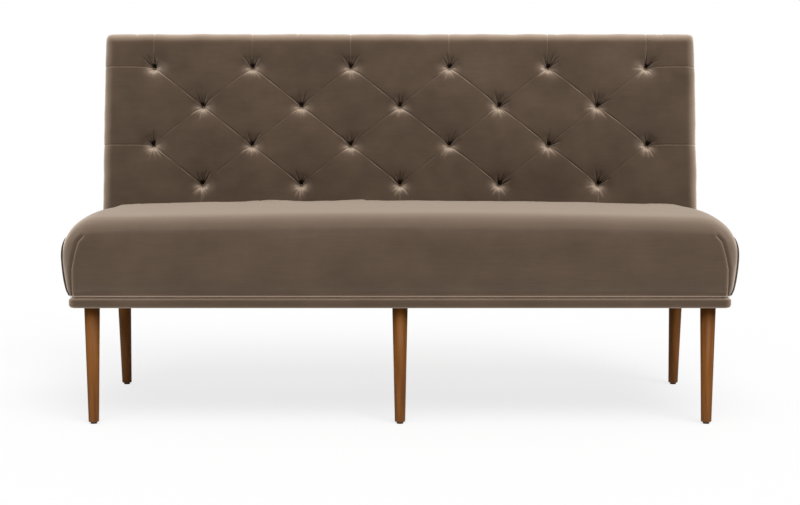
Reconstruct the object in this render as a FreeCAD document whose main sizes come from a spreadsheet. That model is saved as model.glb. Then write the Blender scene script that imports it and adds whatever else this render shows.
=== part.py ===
import FreeCAD, Part
import math
import os
import Sketcher
from FreeCAD import Matrix, Placement, Rotation, Vector

doc = FreeCAD.newDocument("UpholsteredBench")

# Driving dimensions: lengths in millimetres, angles in degrees.
# X runs along the bench, the front faces -Y and the floor is z = 0.
DRIVING = {
    "glide_diameter": 15,
    "glide_thickness": 4,
    "glide_nail_diameter": 2.6,
    "glide_nail_length": 14,
    "leg_length": 269,
    "leg_top_diameter": 35.5,
    "leg_foot_diameter": 24,
    "leg_end_setback": 49.5,
    "front_leg_setback": 36,
    "rear_leg_setback": 40,
    "rear_leg_rake": 5.5,
    "leg_bolt_diameter": 8,
    "leg_bolt_grip": 30,
    "insert_diameter": 12,
    "insert_length": 15,
    "base_width": 1509,
    "base_depth": 530,
    "base_board_thickness": 20,
    "base_board_width": 70,
    "centre_board_width": 90,
    "base_corner_radius": 18,
    "base_edge_radius": 8,
    "band_padding": 5,
    "cover_thickness": 1.5,
    "cover_tuck": 15,
    "dust_cover_thickness": 1,
    "seat_overhang": 14,
    "seat_end_overhang": 12.5,
    "seat_end_bulge": 19,
    "seat_crown_rise": 193.5,
    "seat_crown_sag": 13,
    "seat_rear_fall": 14,
    "seat_roll_radius": 68,
    "seat_corner_radius": 30,
    "seat_shoulder_radius": 85,
    "seat_side_radius": 370,
    "seat_draw_height": 55,
    "seam_foot_offset": 12,
    "seam_lean": 7.5,
    "wadding_thickness": 5,
    "seat_rail_height": 95,
    "seat_rail_thickness": 20,
    "seat_rail_setback": 16,
    "stretcher_height": 55,
    "stretcher_end_margin": 520.5,
    "corner_block_size": 60,
    "spring_count": 13,
    "spring_wire": 3.8,
    "spring_bar": 44,
    "spring_pitch": 24,
    "spring_clip_width": 20,
    "spring_clip_wall": 2.5,
    "insulator_thickness": 5,
    "back_end_margin": 4.5,
    "back_length": 613,
    "back_thickness": 95,
    "back_rake": 10,
    "back_margin": 8.5,
    "back_corner_radius": 14,
    "back_edge_radius": 20,
    "back_padding": 42,
    "tufting_panel_thickness": 5,
    "back_foot_height": 145,
    "stile_thickness": 25,
    "stile_depth": 45,
    "back_rail_height": 50,
    "back_bottom_rail_rise": 118,
    "lining_thickness": 1.2,
    "tuft_columns": 6,
    "tuft_end_margin": 122.5,
    "tuft_row_spacing": 100,
    "tuft_top_margin": 81,
    "tuft_radius": 36,
    "tuft_depth": 30,
    "tuft_floor_radius": 1.5,
    "tuft_rim_depth": 0.4,
    "pleat_radius": 14,
    "pleat_depth": 3,
    "twine_diameter": 2,
    "toggle_length": 22,
    "toggle_diameter": 8,
    "screw_diameter": 4,
    "screw_length": 50,
    "screw_head_diameter": 8,
    "back_bolt_diameter": 8,
    "back_bolt_head_diameter": 18,
    "back_bolt_head_height": 4,
    "back_bolt_spacing": 50,
    "nut_width": 13,
    "nut_height": 6.5,
    "bolt_tip": 3,
    "clearance": 0.3,
    "hole_clearance": 0.1,
}
sizes = doc.addObject("Spreadsheet::Sheet", "Sizes")
for row, (alias, number) in enumerate(DRIVING.items(), start=1):
    sizes.set(f"A{row}", alias)
    sizes.set(f"B{row}", str(number))
    sizes.setAlias(f"B{row}", alias)
doc.recompute()

# Places worked out from the driving dimensions, each one a formula on the sheet.
places = doc.addObject("App::VarSet", "Places")


def derive(name, formula):
    places.addProperty("App::PropertyFloat", name, "Places")
    places.setExpression(name, formula)


def value(name):
    if name in DRIVING:
        return float(sizes.get(name))
    return getattr(places, name)


# Heights
derive("base_underside", "Sizes.glide_thickness + Sizes.leg_length")
derive("base_top", "Places.base_underside + Sizes.base_board_thickness")
derive("band_bottom", "Places.base_underside - Sizes.cover_thickness")
derive("band_top", "Places.base_top + Sizes.cover_thickness")
derive("seat_bottom", "Places.band_top + Sizes.clearance")
derive("seat_crown", "Places.band_top + Sizes.seat_crown_rise")
derive("seat_rail_top", "Places.base_top + Sizes.seat_rail_height")
derive("half_tunnel", "Sizes.spring_wire / 2 + Sizes.clearance")
derive("spring_height", "Places.seat_rail_top + Sizes.spring_clip_wall + Places.half_tunnel")
derive("clip_top", "Places.spring_height + Places.half_tunnel + Sizes.spring_clip_wall")
derive("insulator_bottom", "Places.clip_top + Sizes.clearance")
derive("insulator_top", "Places.insulator_bottom + Sizes.insulator_thickness")

# Depths, set so that the origin is under the middle of the whole bench
derive("back_foot_depth", "Sizes.back_thickness / cos(Sizes.back_rake)")
derive("back_top_lean", "Sizes.back_length * sin(Sizes.back_rake)")
derive("back_top_reach", "Sizes.back_thickness * cos(Sizes.back_rake) + Places.back_top_lean")
derive("back_foot_from_front", "Sizes.base_depth - Places.back_foot_depth - Sizes.back_margin")
derive("overall_depth", "Sizes.seat_overhang + Places.back_foot_from_front + Places.back_top_reach")
derive("seat_front", "-Places.overall_depth / 2")
derive("base_front", "Places.seat_front + Sizes.seat_overhang")
derive("base_rear", "Places.base_front + Sizes.base_depth")
derive("back_foot", "Places.base_front + Places.back_foot_from_front")
derive("frame_front", "Places.base_front + Sizes.cover_thickness + Sizes.band_padding")
derive("frame_rear", "Places.base_rear - Sizes.cover_thickness - Sizes.band_padding")
derive("frame_half", "Sizes.base_width / 2 - Sizes.cover_thickness - Sizes.band_padding")
derive("front_leg_line", "Places.base_front + Sizes.front_leg_setback")
derive("rear_leg_line", "Places.base_rear - Sizes.rear_leg_setback")
derive("seat_rail_front", "Places.base_front + Sizes.seat_rail_setback")
derive("rear_rail_back", "Places.back_foot + Sizes.cover_thickness")
derive("rear_rail_front", "Places.rear_rail_back - Sizes.seat_rail_thickness")
derive("bolt_line", "Places.back_foot + Sizes.back_thickness / 2")

# Widths
derive("half_leg_spread", "Sizes.base_width / 2 - Sizes.leg_end_setback")
derive("half_seat_end", "Sizes.base_width / 2 + Sizes.seat_end_overhang")
derive("half_back", "Sizes.base_width / 2 - Sizes.back_end_margin")
derive("stretcher_line", "Sizes.base_width / 2 - Sizes.stretcher_end_margin")
derive("half_tuft_run", "Places.half_back - Sizes.tuft_end_margin")
derive("half_tuft_pitch", "Places.half_tuft_run / (Sizes.tuft_columns - 1)")
derive("post_line", "1.5 * Places.half_tuft_pitch")
derive("stile_outer", "Places.half_back - Sizes.cover_thickness - Sizes.clearance")
derive("stile_inner", "Places.stile_outer - Sizes.stile_thickness")
derive("side_rail_inner", "Places.stile_inner - Sizes.seat_rail_thickness")

# Depths inside the back, measured square to its front face
derive("frame_face", "Sizes.back_padding + Sizes.tufting_panel_thickness")
derive("frame_back", "Places.frame_face + Sizes.stile_depth")
derive("foot_face", "Sizes.back_edge_radius")
derive("foot_face_cut", "Places.foot_face * tan(Sizes.back_rake)")
derive("frame_back_cut", "Places.frame_back * tan(Sizes.back_rake)")
derive("stile_top", "Sizes.back_length - Sizes.cover_thickness - Sizes.clearance")
derive("panel_foot", "Sizes.back_foot_height + Sizes.clearance")
derive("panel_shoulder", "Places.stile_top - Sizes.back_corner_radius")
derive("panel_half_top", "Places.stile_outer - Sizes.back_corner_radius")
derive("overall_reach", "2 * Places.half_seat_end")
doc.recompute()

nodes = []
NEAR = 0.01  # two places this close are the same


def keep(piece, label):
    """Give a finished piece its name and put it on the list of parts."""
    piece.Label = label
    nodes.append(piece)
    return piece


def bind(piece, formulas):
    for name, formula in formulas.items():
        piece.setExpression(name, formula)


def board(name, size, corner):
    """A straight board along the axes: its three sizes and its lowest corner, as formulas."""
    piece = doc.addObject("Part::Box", name)
    bind(piece, dict(zip(("Length", "Width", "Height"), size)))
    bind(piece, dict(zip(("Placement.Base.x", "Placement.Base.y", "Placement.Base.z"), corner)))
    return piece


def raked_place(corner):
    """Formulas for a point of the back, given along its width, its thickness and up its slope."""
    across, deep, up = corner
    rake = "Sizes.back_rake"
    return (
        across,
        f"Places.back_foot + ({deep}) * cos({rake}) + ({up}) * sin({rake})",
        f"Places.base_top - ({deep}) * sin({rake}) + ({up}) * cos({rake})",
    )


BASE = ("Placement.Base.x", "Placement.Base.y", "Placement.Base.z")


def raked_board(name, size, corner):
    piece = board(name, size, raked_place(corner))
    piece.Placement = Placement(Vector(0, 0, 0), Rotation(Vector(1, 0, 0), -value("back_rake")))
    piece.setExpression("Placement.Rotation.Angle", "-Sizes.back_rake")
    return piece


def rod(name, radius, length, base, turn_axis=(0, 0, 1), turn="0"):
    """A cylinder from a base point, turned from upright about an axis by an angle formula."""
    piece = doc.addObject("Part::Cylinder", name)
    piece.Placement = Placement(Vector(0, 0, 0), Rotation(Vector(*turn_axis), 1))
    bind(piece, {"Radius": radius, "Height": length, "Placement.Rotation.Angle": turn})
    bind(piece, dict(zip(BASE, base)))
    return piece


def group(name, pieces):
    piece = doc.addObject("Part::Compound", name)
    piece.Links = pieces
    return piece


def cut(name, base, tools):
    piece = doc.addObject("Part::Cut", name)
    piece.Base = base
    piece.Tool = tools[0] if len(tools) == 1 else group(name + "_tools", tools)
    return piece


def shaped(name, shape):
    """A piece whose shape is made with Part's own functions."""
    piece = doc.addObject("Part::Feature", name)
    piece.Shape = shape
    return piece


LEGS = {
    "front_left": ("-Places.half_leg_spread", "Places.front_leg_line", "0"),
    "front_centre": ("0", "Places.front_leg_line", "0"),
    "front_right": ("Places.half_leg_spread", "Places.front_leg_line", "0"),
    "rear_left": ("-Places.half_leg_spread", "Places.rear_leg_line", "Sizes.rear_leg_rake"),
    "rear_centre": ("0", "Places.rear_leg_line", "Sizes.rear_leg_rake"),
    "rear_right": ("Places.half_leg_spread", "Places.rear_leg_line", "Sizes.rear_leg_rake"),
}
LEAN_AXIS = (1, 0, 0)


def leg_foot(place):
    """The middle of a leg's foot: a leaning leg meets the floor further back than its top."""
    x, y, lean = place
    return (x, f"{y} + Sizes.leg_length * tan({lean})", "Sizes.glide_thickness")


def turned_leg(name, place):
    """A turned taper, longer than the leg at both ends and trimmed level to stand on the floor."""
    x, y, lean = place
    spare = "Sizes.leg_top_diameter / 2"
    taper = "(Sizes.leg_top_diameter - Sizes.leg_foot_diameter) / 2 / Sizes.leg_length"
    blank = doc.addObject("Part::Cone", name + "_blank")
    blank.Placement = Placement(Vector(0, 0, 0), Rotation(Vector(*LEAN_AXIS), 1))
    foot_x, foot_y, foot_z = leg_foot(place)
    bind(
        blank,
        {
            "Radius1": f"Sizes.leg_foot_diameter / 2 - {taper} * {spare}",
            "Radius2": f"Sizes.leg_top_diameter / 2 + {taper} * {spare}",
            "Height": f"Sizes.leg_length + 2 * {spare}",
            "Placement.Rotation.Angle": lean,
            "Placement.Base.x": foot_x,
            "Placement.Base.y": f"{foot_y} + {spare} * sin({lean})",
            "Placement.Base.z": f"{foot_z} - {spare} * cos({lean})",
        },
    )
    level = board(
        name + "_level",
        ("Sizes.leg_top_diameter * 2", "Sizes.base_depth", "Sizes.leg_length"),
        (f"{x} - Sizes.leg_top_diameter", f"{y} - Sizes.base_depth / 2", "Sizes.glide_thickness"),
    )
    trimmed = doc.addObject("Part::Common", name + "_trimmed")
    trimmed.Base = blank
    trimmed.Tool = level
    nail = rod(
        name + "_nail_hole",
        "Sizes.glide_nail_diameter / 2",
        "Sizes.glide_nail_length",
        leg_foot(place),
    )
    bolt = leg_bolt(name + "_bolt_hole", place, "Sizes.leg_bolt_diameter / 2")
    return cut(name, trimmed, [nail, bolt])


def leg_bolt(name, place, radius):
    """A round of the leg bolt's length on the leg's own axis, from the leg up into the base."""
    x, y, lean = place
    return rod(
        name,
        radius,
        "Sizes.leg_bolt_grip + Sizes.insert_length",
        (
            x,
            f"{y} + Sizes.leg_bolt_grip * sin({lean})",
            f"Places.base_underside - Sizes.leg_bolt_grip * cos({lean})",
        ),
        LEAN_AXIS,
        lean,
    )


def leg_insert(name, place, radius, extra="0"):
    """A round on the leg's axis that starts at the underside of the base and stays inside it."""
    x, y, lean = place
    start = f"(Sizes.insert_diameter / 2 * tan({lean}) + Sizes.clearance)"
    return rod(
        name,
        radius,
        f"Sizes.insert_length - {start} + {extra}",
        (x, f"{y} - {start} * sin({lean})", f"Places.base_underside + {start} * cos({lean})"),
        LEAN_AXIS,
        lean,
    )


def glide(name, place):
    """A nail-on glide: a low disc with a nail that holds it in the foot of the leg."""
    disc = rod(
        name + "_disc",
        "Sizes.glide_diameter / 2",
        "Sizes.glide_thickness",
        leg_foot(place)[:2] + ("0",),
    )
    nail = rod(
        name + "_nail",
        "Sizes.glide_nail_diameter / 2",
        "Sizes.glide_nail_length + Sizes.glide_thickness / 2",
        leg_foot(place)[:2] + ("Sizes.glide_thickness / 2",),
    )
    piece = doc.addObject("Part::Fuse", name)
    piece.Base = disc
    piece.Tool = nail
    return piece


bolts = []
inserts = []
insert_holes = {}
for spot, place in LEGS.items():
    keep(turned_leg("leg_" + spot, place), "leg_" + spot)
    keep(glide("glide_" + spot, place), "glide_" + spot)
    bolts.append(leg_bolt("bolt_" + spot, place, "Sizes.leg_bolt_diameter / 2"))
    barrel = leg_insert("barrel_" + spot, place, "Sizes.insert_diameter / 2")
    thread = leg_bolt("thread_" + spot, place, "Sizes.leg_bolt_diameter / 2")
    inserts.append(cut("insert_" + spot, barrel, [thread]))
    pocket = leg_insert("pocket_" + spot, place, "Sizes.insert_diameter / 2", "Sizes.clearance")
    mouth = leg_bolt("mouth_" + spot, place, "Sizes.leg_bolt_diameter / 2 + Sizes.hole_clearance")
    insert_holes[spot] = [pocket, mouth]
keep(group("leg_bolts", bolts), "leg_hanger_bolts")
keep(group("leg_insert_group", inserts), "leg_threaded_inserts")


def base_rail(label, size, corner, spots):
    """A flat board of the base ring, bored for the threaded inserts of the legs below it."""
    blank = board(label + "_blank", size, corner)
    holes = [hole for spot in spots for hole in insert_holes[spot]]
    return keep(cut(label, blank, holes) if holes else blank, label)


thick = "Sizes.base_board_thickness"
wide = "Sizes.base_board_width"
inner_run = f"Places.frame_rear - Places.frame_front - 2 * {wide}"
base_rail(
    "base_rail_front",
    ("2 * Places.frame_half", wide, thick),
    ("-Places.frame_half", "Places.frame_front", "Places.base_underside"),
    ("front_left", "front_centre", "front_right"),
)
base_rail(
    "base_rail_rear",
    ("2 * Places.frame_half", wide, thick),
    ("-Places.frame_half", f"Places.frame_rear - {wide}", "Places.base_underside"),
    ("rear_left", "rear_centre", "rear_right"),
)
for label, left in (
    ("base_rail_left", "-Places.frame_half"),
    ("base_rail_right", f"Places.frame_half - {wide}"),
):
    corner = (left, f"Places.frame_front + {wide}", "Places.base_underside")
    base_rail(label, (wide, inner_run, thick), corner, ())
base_rail(
    "base_rail_centre",
    ("Sizes.centre_board_width", inner_run, thick),
    ("-Sizes.centre_board_width / 2", f"Places.frame_front + {wide}", "Places.base_underside"),
    (),
)


def solid_box(low, high):
    return Part.makeBox(high[0] - low[0], high[1] - low[1], high[2] - low[2], Vector(*low))


def edges_where(shape, test):
    return [edge for edge in shape.Edges if test(edge)]


def upright(edge):
    return edge.BoundBox.ZLength > edge.Length - NEAR


def level_at(edge, heights):
    low = edge.BoundBox.ZMin
    return edge.BoundBox.ZLength < NEAR and min(abs(low - height) for height in heights) < NEAR


def band_form(inset):
    """The padded band round the base, drawn in by an inset: rounded corners and a rolled edge."""
    half = value("base_width") / 2 - inset
    low = (-half, value("base_front") + inset, value("band_bottom") + inset)
    high = (half, value("base_rear") - inset, value("band_top") - inset)
    block = solid_box(low, high)
    block = block.makeFillet(value("base_corner_radius") - inset, edges_where(block, upright))
    rim = edges_where(block, lambda edge: level_at(edge, (low[2], high[2])))
    return block.makeFillet(value("base_edge_radius") - inset, rim)


def ring_opening(margin, bottom, top):
    """The space inside the base band, kept a margin from its outer faces, as an upright block."""
    half = value("base_width") / 2 - margin
    low = (-half, value("base_front") + margin, bottom)
    return solid_box(low, (half, value("base_rear") - margin, top))


cover = value("cover_thickness")
gap = value("clearance")
tuck = value("cover_tuck")
frame_block = solid_box(
    (-value("frame_half"), value("frame_front"), value("base_underside")),
    (value("frame_half"), value("frame_rear"), value("base_top")),
)
upper_tuck = value("base_width") / 2 - value("stile_outer") - gap
lower_opening = ring_opening(tuck, 0, value("base_top"))
upper_opening = ring_opening(upper_tuck, value("base_underside"), value("seat_rail_top"))
band_cover = band_form(0).cut([band_form(cover), lower_opening, upper_opening])
keep(shaped("band_cover", band_cover), "base_band_cover")
band_wadding = band_form(cover + gap).cut(frame_block)
keep(shaped("band_padding_strip", band_wadding), "base_band_padding")
dust_margin = tuck + gap
dust_half = value("base_width") / 2 - dust_margin
dust_low = value("base_underside") - value("dust_cover_thickness")
dust_cloth = solid_box(
    (-dust_half, value("base_front") + dust_margin, dust_low),
    (dust_half, value("base_rear") - dust_margin, value("base_underside")),
)
doc.recompute()
leg_tops = [doc.getObject("leg_" + spot + "_blank").Shape for spot in LEGS]
dust_holes = [top.makeOffsetShape(gap, NEAR) for top in leg_tops]
keep(shaped("dust_cloth", dust_cloth.cut(dust_holes)), "dust_cover")


# Seat box
def screw(at, towards):
    """A countersunk screw: its head's top at a point, its shank along a direction."""
    direction = Vector(*towards)
    shank = Part.makeCylinder(value("screw_diameter") / 2, value("screw_length"), Vector(*at), direction)
    head_rise = (value("screw_head_diameter") - value("screw_diameter")) / 2
    head = Part.makeCone(
        value("screw_head_diameter") / 2, value("screw_diameter") / 2, head_rise, Vector(*at), direction
    )
    return shank.fuse(head)


def bored(name, base, bores):
    """A piece cut by holes that are made with Part's own functions."""
    return cut(name, base, [shaped(name + "_bores", Part.makeCompound(bores))])


seat_rail_size = ("Sizes.seat_rail_thickness", "Sizes.seat_rail_height")
rail_thick, rail_high = seat_rail_size
behind_front_rail = f"(Places.seat_rail_front + {rail_thick})"
side_rail_run = f"Places.bolt_line + Sizes.back_bolt_spacing / 2 - {behind_front_rail}"

# Screws: two at each joint of the seat box, one above the other
rail_middle = value("base_top") + value("seat_rail_height") / 2
screw_heights = [rail_middle + step * value("seat_rail_height") / 4 for step in (-1, 1)]
screw_x = value("side_rail_inner") + value("seat_rail_thickness") / 2
rear_screw_y = value("rear_rail_front") + value("seat_rail_thickness") / 2
screws = []
for side in (-1, 1):
    for height in screw_heights:
        screws.append(screw((side * screw_x, value("seat_rail_front"), height), (0, 1, 0)))
        screws.append(screw((side * value("stile_inner"), rear_screw_y, height), (-side, 0, 0)))
keep(shaped("screws", Part.makeCompound(screws)), "seat_box_screws")

# Bolts: two on each side hold the foot of a back stile to the seat box
bolt_line = value("bolt_line")
bolt_heights = [rail_middle + step * value("back_bolt_spacing") / 2 for step in (-1, 1)]
bolt_grip = value("stile_thickness") + value("seat_rail_thickness")


def back_bolt(side, height, spare=0.0):
    """A round-headed bolt from the outer face of a stile, its head let into the wood."""
    outer = Vector(side * value("stile_outer"), bolt_line, height)
    inward = Vector(-side, 0, 0)
    head = Part.makeCylinder(
        value("back_bolt_head_diameter") / 2 + spare, value("back_bolt_head_height") + spare, outer, inward
    )
    length = bolt_grip + value("nut_height") + value("bolt_tip")
    return head.fuse(Part.makeCylinder(value("back_bolt_diameter") / 2 + spare, length, outer, inward))


def hexagon_nut(side, height):
    """A nut on the inner face of a side rail."""
    across_corners = value("nut_width") / math.cos(math.pi / 6)
    turns = [corner * math.pi / 3 for corner in range(7)]
    corners = [Vector(0, math.cos(turn), math.sin(turn)) * (across_corners / 2) for turn in turns]
    face = Part.Face(Part.makePolygon(corners))
    nut = face.extrude(Vector(-side * value("nut_height"), 0, 0))
    nut.translate(Vector(side * value("side_rail_inner"), bolt_line, height))
    return nut.cut(back_bolt(side, height))


back_bolts = [back_bolt(side, height) for side in (-1, 1) for height in bolt_heights]
bore_spare = value("hole_clearance")
bolt_bores = [back_bolt(side, height, bore_spare) for side in (-1, 1) for height in bolt_heights]
keep(shaped("bolts_of_back", Part.makeCompound(back_bolts)), "back_bolts")
nuts = [hexagon_nut(side, height) for side in (-1, 1) for height in bolt_heights]
keep(shaped("nuts_of_back", Part.makeCompound(nuts)), "back_bolt_nuts")

front_rail = board(
    "seat_front_blank",
    ("2 * Places.stile_inner", rail_thick, rail_high),
    ("-Places.stile_inner", "Places.seat_rail_front", "Places.base_top"),
)
keep(bored("seat_front", front_rail, screws), "seat_rail_front")
rear_rail = board(
    "seat_rear_blank",
    ("2 * Places.side_rail_inner", rail_thick, rail_high),
    ("-Places.side_rail_inner", "Places.rear_rail_front", "Places.base_top"),
)
keep(bored("seat_rear", rear_rail, screws), "seat_rail_rear")
for label, left in (
    ("seat_rail_left", "-Places.stile_inner"),
    ("seat_rail_right", "Places.side_rail_inner"),
):
    corner = (left, behind_front_rail, "Places.base_top")
    blank = board(label + "_blank", (rail_thick, side_rail_run, rail_high), corner)
    keep(bored(label, blank, screws + bolt_bores), label)
for label, middle in (
    ("seat_stretcher_left", "-Places.stretcher_line"),
    ("seat_stretcher_right", "Places.stretcher_line"),
):
    size = (rail_thick, f"Places.rear_rail_front - {behind_front_rail}", "Sizes.stretcher_height")
    corner = (f"{middle} - {rail_thick} / 2", behind_front_rail, "Places.base_top")
    keep(board(label, size, corner), label)


def corner_block(x, y, toward_x, toward_y):
    """A triangular block in a corner of the seat box."""
    reach = value("corner_block_size")
    start = Vector(x, y, value("base_top"))
    corners = [start, start + Vector(toward_x * reach, 0, 0), start + Vector(0, toward_y * reach, 0)]
    face = Part.Face(Part.makePolygon(corners + corners[:1]))
    return face.extrude(Vector(0, 0, value("stretcher_height")))


screw_tip_room = value("seat_rail_front") + value("seat_rail_thickness")
blocks = [
    corner_block(side * value("side_rail_inner"), y, -side, toward)
    for side in (-1, 1)
    for y, toward in ((screw_tip_room, 1), (value("rear_rail_front"), -1))
]
keep(shaped("corner_blocks", Part.makeCompound(blocks)), "seat_corner_blocks")

# Springs
spring_front = value("seat_rail_front") + value("seat_rail_thickness") / 2
spring_rear = value("rear_rail_front") + value("seat_rail_thickness") / 2
spring_turns = round((spring_rear - spring_front) / value("spring_pitch"))
spring_step = (spring_rear - spring_front) / spring_turns
bend = spring_step / 2
straight = value("spring_bar") / 2 - bend
spring_z = value("spring_height")


def sinuous_spring(x):
    """One unbroken wire that snakes from the front rail to the rear rail."""
    edges = []
    for turn in range(spring_turns + 1):
        way = 1 if turn % 2 == 0 else -1
        y = spring_front + turn * spring_step
        start = Vector(x - way * straight, y, spring_z)
        end = Vector(x + way * straight, y, spring_z)
        edges.append(Part.LineSegment(start, end).toShape())
        if turn < spring_turns:
            tip = Vector(x + way * (straight + bend), y + bend, spring_z)
            onward = Vector(x + way * straight, y + spring_step, spring_z)
            edges.append(Part.Arc(end, tip, onward).toShape())
    path = Part.Wire(edges)
    start = path.Vertexes[0].Point
    ring = Part.Wire(Part.makeCircle(value("spring_wire") / 2, start, Vector(1, 0, 0)))
    return path.makePipeShell([ring], True, False)


def spring_clip(x, y):
    """A steel clip on top of a rail, with a tunnel for the end bar of a spring."""
    half = value("spring_clip_width") / 2
    room = value("half_tunnel")
    deep = room + value("spring_clip_wall")
    body = solid_box((x - half, y - deep, value("seat_rail_top")), (x + half, y + deep, spring_z + deep))
    tunnel = solid_box((x - half, y - room, spring_z - room), (x + half, y + room, spring_z + room))
    return body.cut(tunnel)


spring_count = int(value("spring_count"))
outer_spring = value("side_rail_inner") - value("spring_bar")
spring_lines = [outer_spring * (2 * n / (spring_count - 1) - 1) for n in range(spring_count)]
keep(shaped("springs", Part.makeCompound([sinuous_spring(x) for x in spring_lines])), "sinuous_springs")
clips = [spring_clip(x, y) for x in spring_lines for y in (spring_front, spring_rear)]
keep(shaped("clips", Part.makeCompound(clips)), "spring_clips")
pad_run = "Places.rear_rail_back - Places.seat_rail_front"
insulator = board(
    "insulator",
    ("2 * Places.side_rail_inner", pad_run, "Sizes.insulator_thickness"),
    ("-Places.side_rail_inner", "Places.seat_rail_front", "Places.insulator_bottom"),
)
keep(insulator, "seat_insulator_pad")


# Seat cushion
def circle_drop(radius, run):
    """How far a circle has fallen away at a distance along its tangent."""
    return radius - math.sqrt(max(radius**2 - run**2, 0))


def seat_section(y, half, bottom, crown, shoulder, sag):
    """One cross-section of the cushion: flat below, drawn-in sides, round shoulders, a low crown."""
    centre_z = crown - sag - shoulder
    side = value("seat_side_radius")
    foot_half = half - circle_drop(side, centre_z - bottom)
    half_turn = math.asin((centre_z - bottom) / side) / 2
    side_middle = (half - side * (1 - math.cos(half_turn)), centre_z - side * math.sin(half_turn))
    centre_x = half - shoulder
    top = (centre_x**2 + (crown - centre_z) ** 2 - shoulder**2) / (2 * (crown - centre_z - shoulder))
    lean = math.atan2(centre_x, top - (crown - centre_z))
    middle = (math.pi / 2 - lean) / 2
    shoulder_middle = (centre_x + shoulder * math.cos(middle), centre_z + shoulder * math.sin(middle))
    shoulder_end = (centre_x + shoulder * math.sin(lean), centre_z + shoulder * math.cos(lean))

    def at(point, way):
        return Vector(way * point[0], y, point[1])

    foot = (foot_half, bottom)
    widest = (half, centre_z)
    edges = [Part.LineSegment(at(foot, -1), at(foot, 1)).toShape()]
    edges.append(Part.Arc(at(foot, 1), at(side_middle, 1), at(widest, 1)).toShape())
    edges.append(Part.Arc(at(widest, 1), at(shoulder_middle, 1), at(shoulder_end, 1)).toShape())
    edges.append(Part.Arc(at(shoulder_end, 1), Vector(0, y, crown), at(shoulder_end, -1)).toShape())
    edges.append(Part.Arc(at(shoulder_end, -1), at(shoulder_middle, -1), at(widest, -1)).toShape())
    edges.append(Part.Arc(at(widest, -1), at(side_middle, -1), at(foot, -1)).toShape())
    return Part.Wire(edges)


def lower_front_fall(radius, overhang, from_front):
    """How far the lower front has come down at a distance behind the front of the cushion."""
    run = min(from_front, overhang)
    return math.sqrt(radius**2 - (radius - run) ** 2)


ROLL_STEPS = 6
SPAN_STEPS = 5
FRONT_SAG_SHARE = 0.25


def seat_form(inset):
    """The seat cushion drawn in by an inset: a loft of cross-sections from its front to its back."""
    front = value("seat_front") + inset
    roll = value("seat_roll_radius") - inset
    corner = value("seat_corner_radius") - inset
    crown = value("seat_crown") - inset
    bottom = value("seat_bottom") + inset
    draw = value("seat_draw_height")
    overhang = value("seat_overhang")
    front_arc = (overhang**2 + draw**2) / (2 * overhang)
    rear = value("back_foot") + value("seat_rail_height")
    middle = (front + value("back_foot")) / 2
    half_run = middle - front
    turns = [math.pi / 2 * step / ROLL_STEPS for step in range(ROLL_STEPS + 1)]
    stations = [(front + roll * (1 - math.cos(turn)), math.sin(turn)) for turn in turns]
    start = stations[-1][0]
    stations += [(start + (rear - start) * step / SPAN_STEPS, 1.0) for step in range(1, SPAN_STEPS + 1)]
    sections = []
    for y, rise in stations:
        from_front = y - front
        bulge = value("seat_end_bulge") * (1 - ((y - middle) / half_run) ** 2)
        corner_cut = circle_drop(corner, max(corner - from_front, 0))
        half = value("half_seat_end") - inset + bulge - corner_cut
        rear_fall = value("seat_rear_fall") * max((y - middle) / half_run, 0) ** 2
        top = crown - roll * (1 - rise) - rear_fall
        foot = bottom + max(draw - lower_front_fall(front_arc, overhang, from_front), 0)
        full = value("seat_shoulder_radius") - inset
        shoulder = corner + (full - corner) * rise
        sag = value("seat_crown_sag") * (FRONT_SAG_SHARE + (1 - FRONT_SAG_SHARE) * rise)
        sections.append(seat_section(y, half, foot, top, shoulder, sag))
    return Part.makeLoft(sections, True, True)


def seam_side(side):
    """Everything beyond the seam of one seat end, as a block whose inner face leans like the seam."""
    foot = value("base_width") / 2 - value("seam_foot_offset")
    rise = value("overall_reach")
    lean = math.tan(math.radians(value("seam_lean")))
    low = value("base_top")
    corners = [(foot, low), (foot - rise * lean, low + rise), (foot + rise, low + rise), (foot + rise, low)]
    wire = Part.makePolygon([Vector(side * x, -rise, z) for x, z in corners + corners[:1]])
    return Part.Face(wire).extrude(Vector(0, 2 * rise, 0))


lean_back = Rotation(Vector(1, 0, 0), -value("back_rake"))
raked = Placement(Vector(0, value("back_foot"), value("base_top")), lean_back)


def in_back(shape):
    """A shape given in the bench's frame, as the back sees it before it leans."""
    return shape.transformed(raked.inverse().toMatrix())


def out_of_back(shape):
    return shape.transformed(raked.toMatrix())


reach = value("overall_reach")
seat_box_room = solid_box(
    (-value("stile_inner") - gap, value("seat_rail_front") - gap, 0),
    (value("stile_inner") + gap, reach, value("insulator_top") + gap),
)
wadding = value("wadding_thickness")


def seat_layer(inset):
    """The cushion drawn in by an inset and cut along the face of the leaning back."""
    behind = solid_box((-reach, -gap - inset, -reach), (reach, reach, reach))
    return seat_form(inset).cut(out_of_back(behind))


seat_shell = seat_layer(0).cut(seat_layer(cover)).cut(seat_box_room)
seam_blocks = [seam_side(side) for side in (-1, 1)]
keep(shaped("seat_skin", seat_shell.cut(seam_blocks)), "seat_cover")
keep(shaped("end_left", seat_shell.common(seam_blocks[0])), "seat_end_panel_left")
keep(shaped("end_right", seat_shell.common(seam_blocks[1])), "seat_end_panel_right")
fleece_inside = seat_layer(cover + wadding)
fleece_of_seat = seat_layer(cover + gap).cut(fleece_inside).cut(seat_box_room)
keep(shaped("seat_fleece", fleece_of_seat), "seat_wadding")
keep(shaped("seat_block", seat_layer(cover + wadding + gap).cut(seat_box_room)), "seat_foam")


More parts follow.
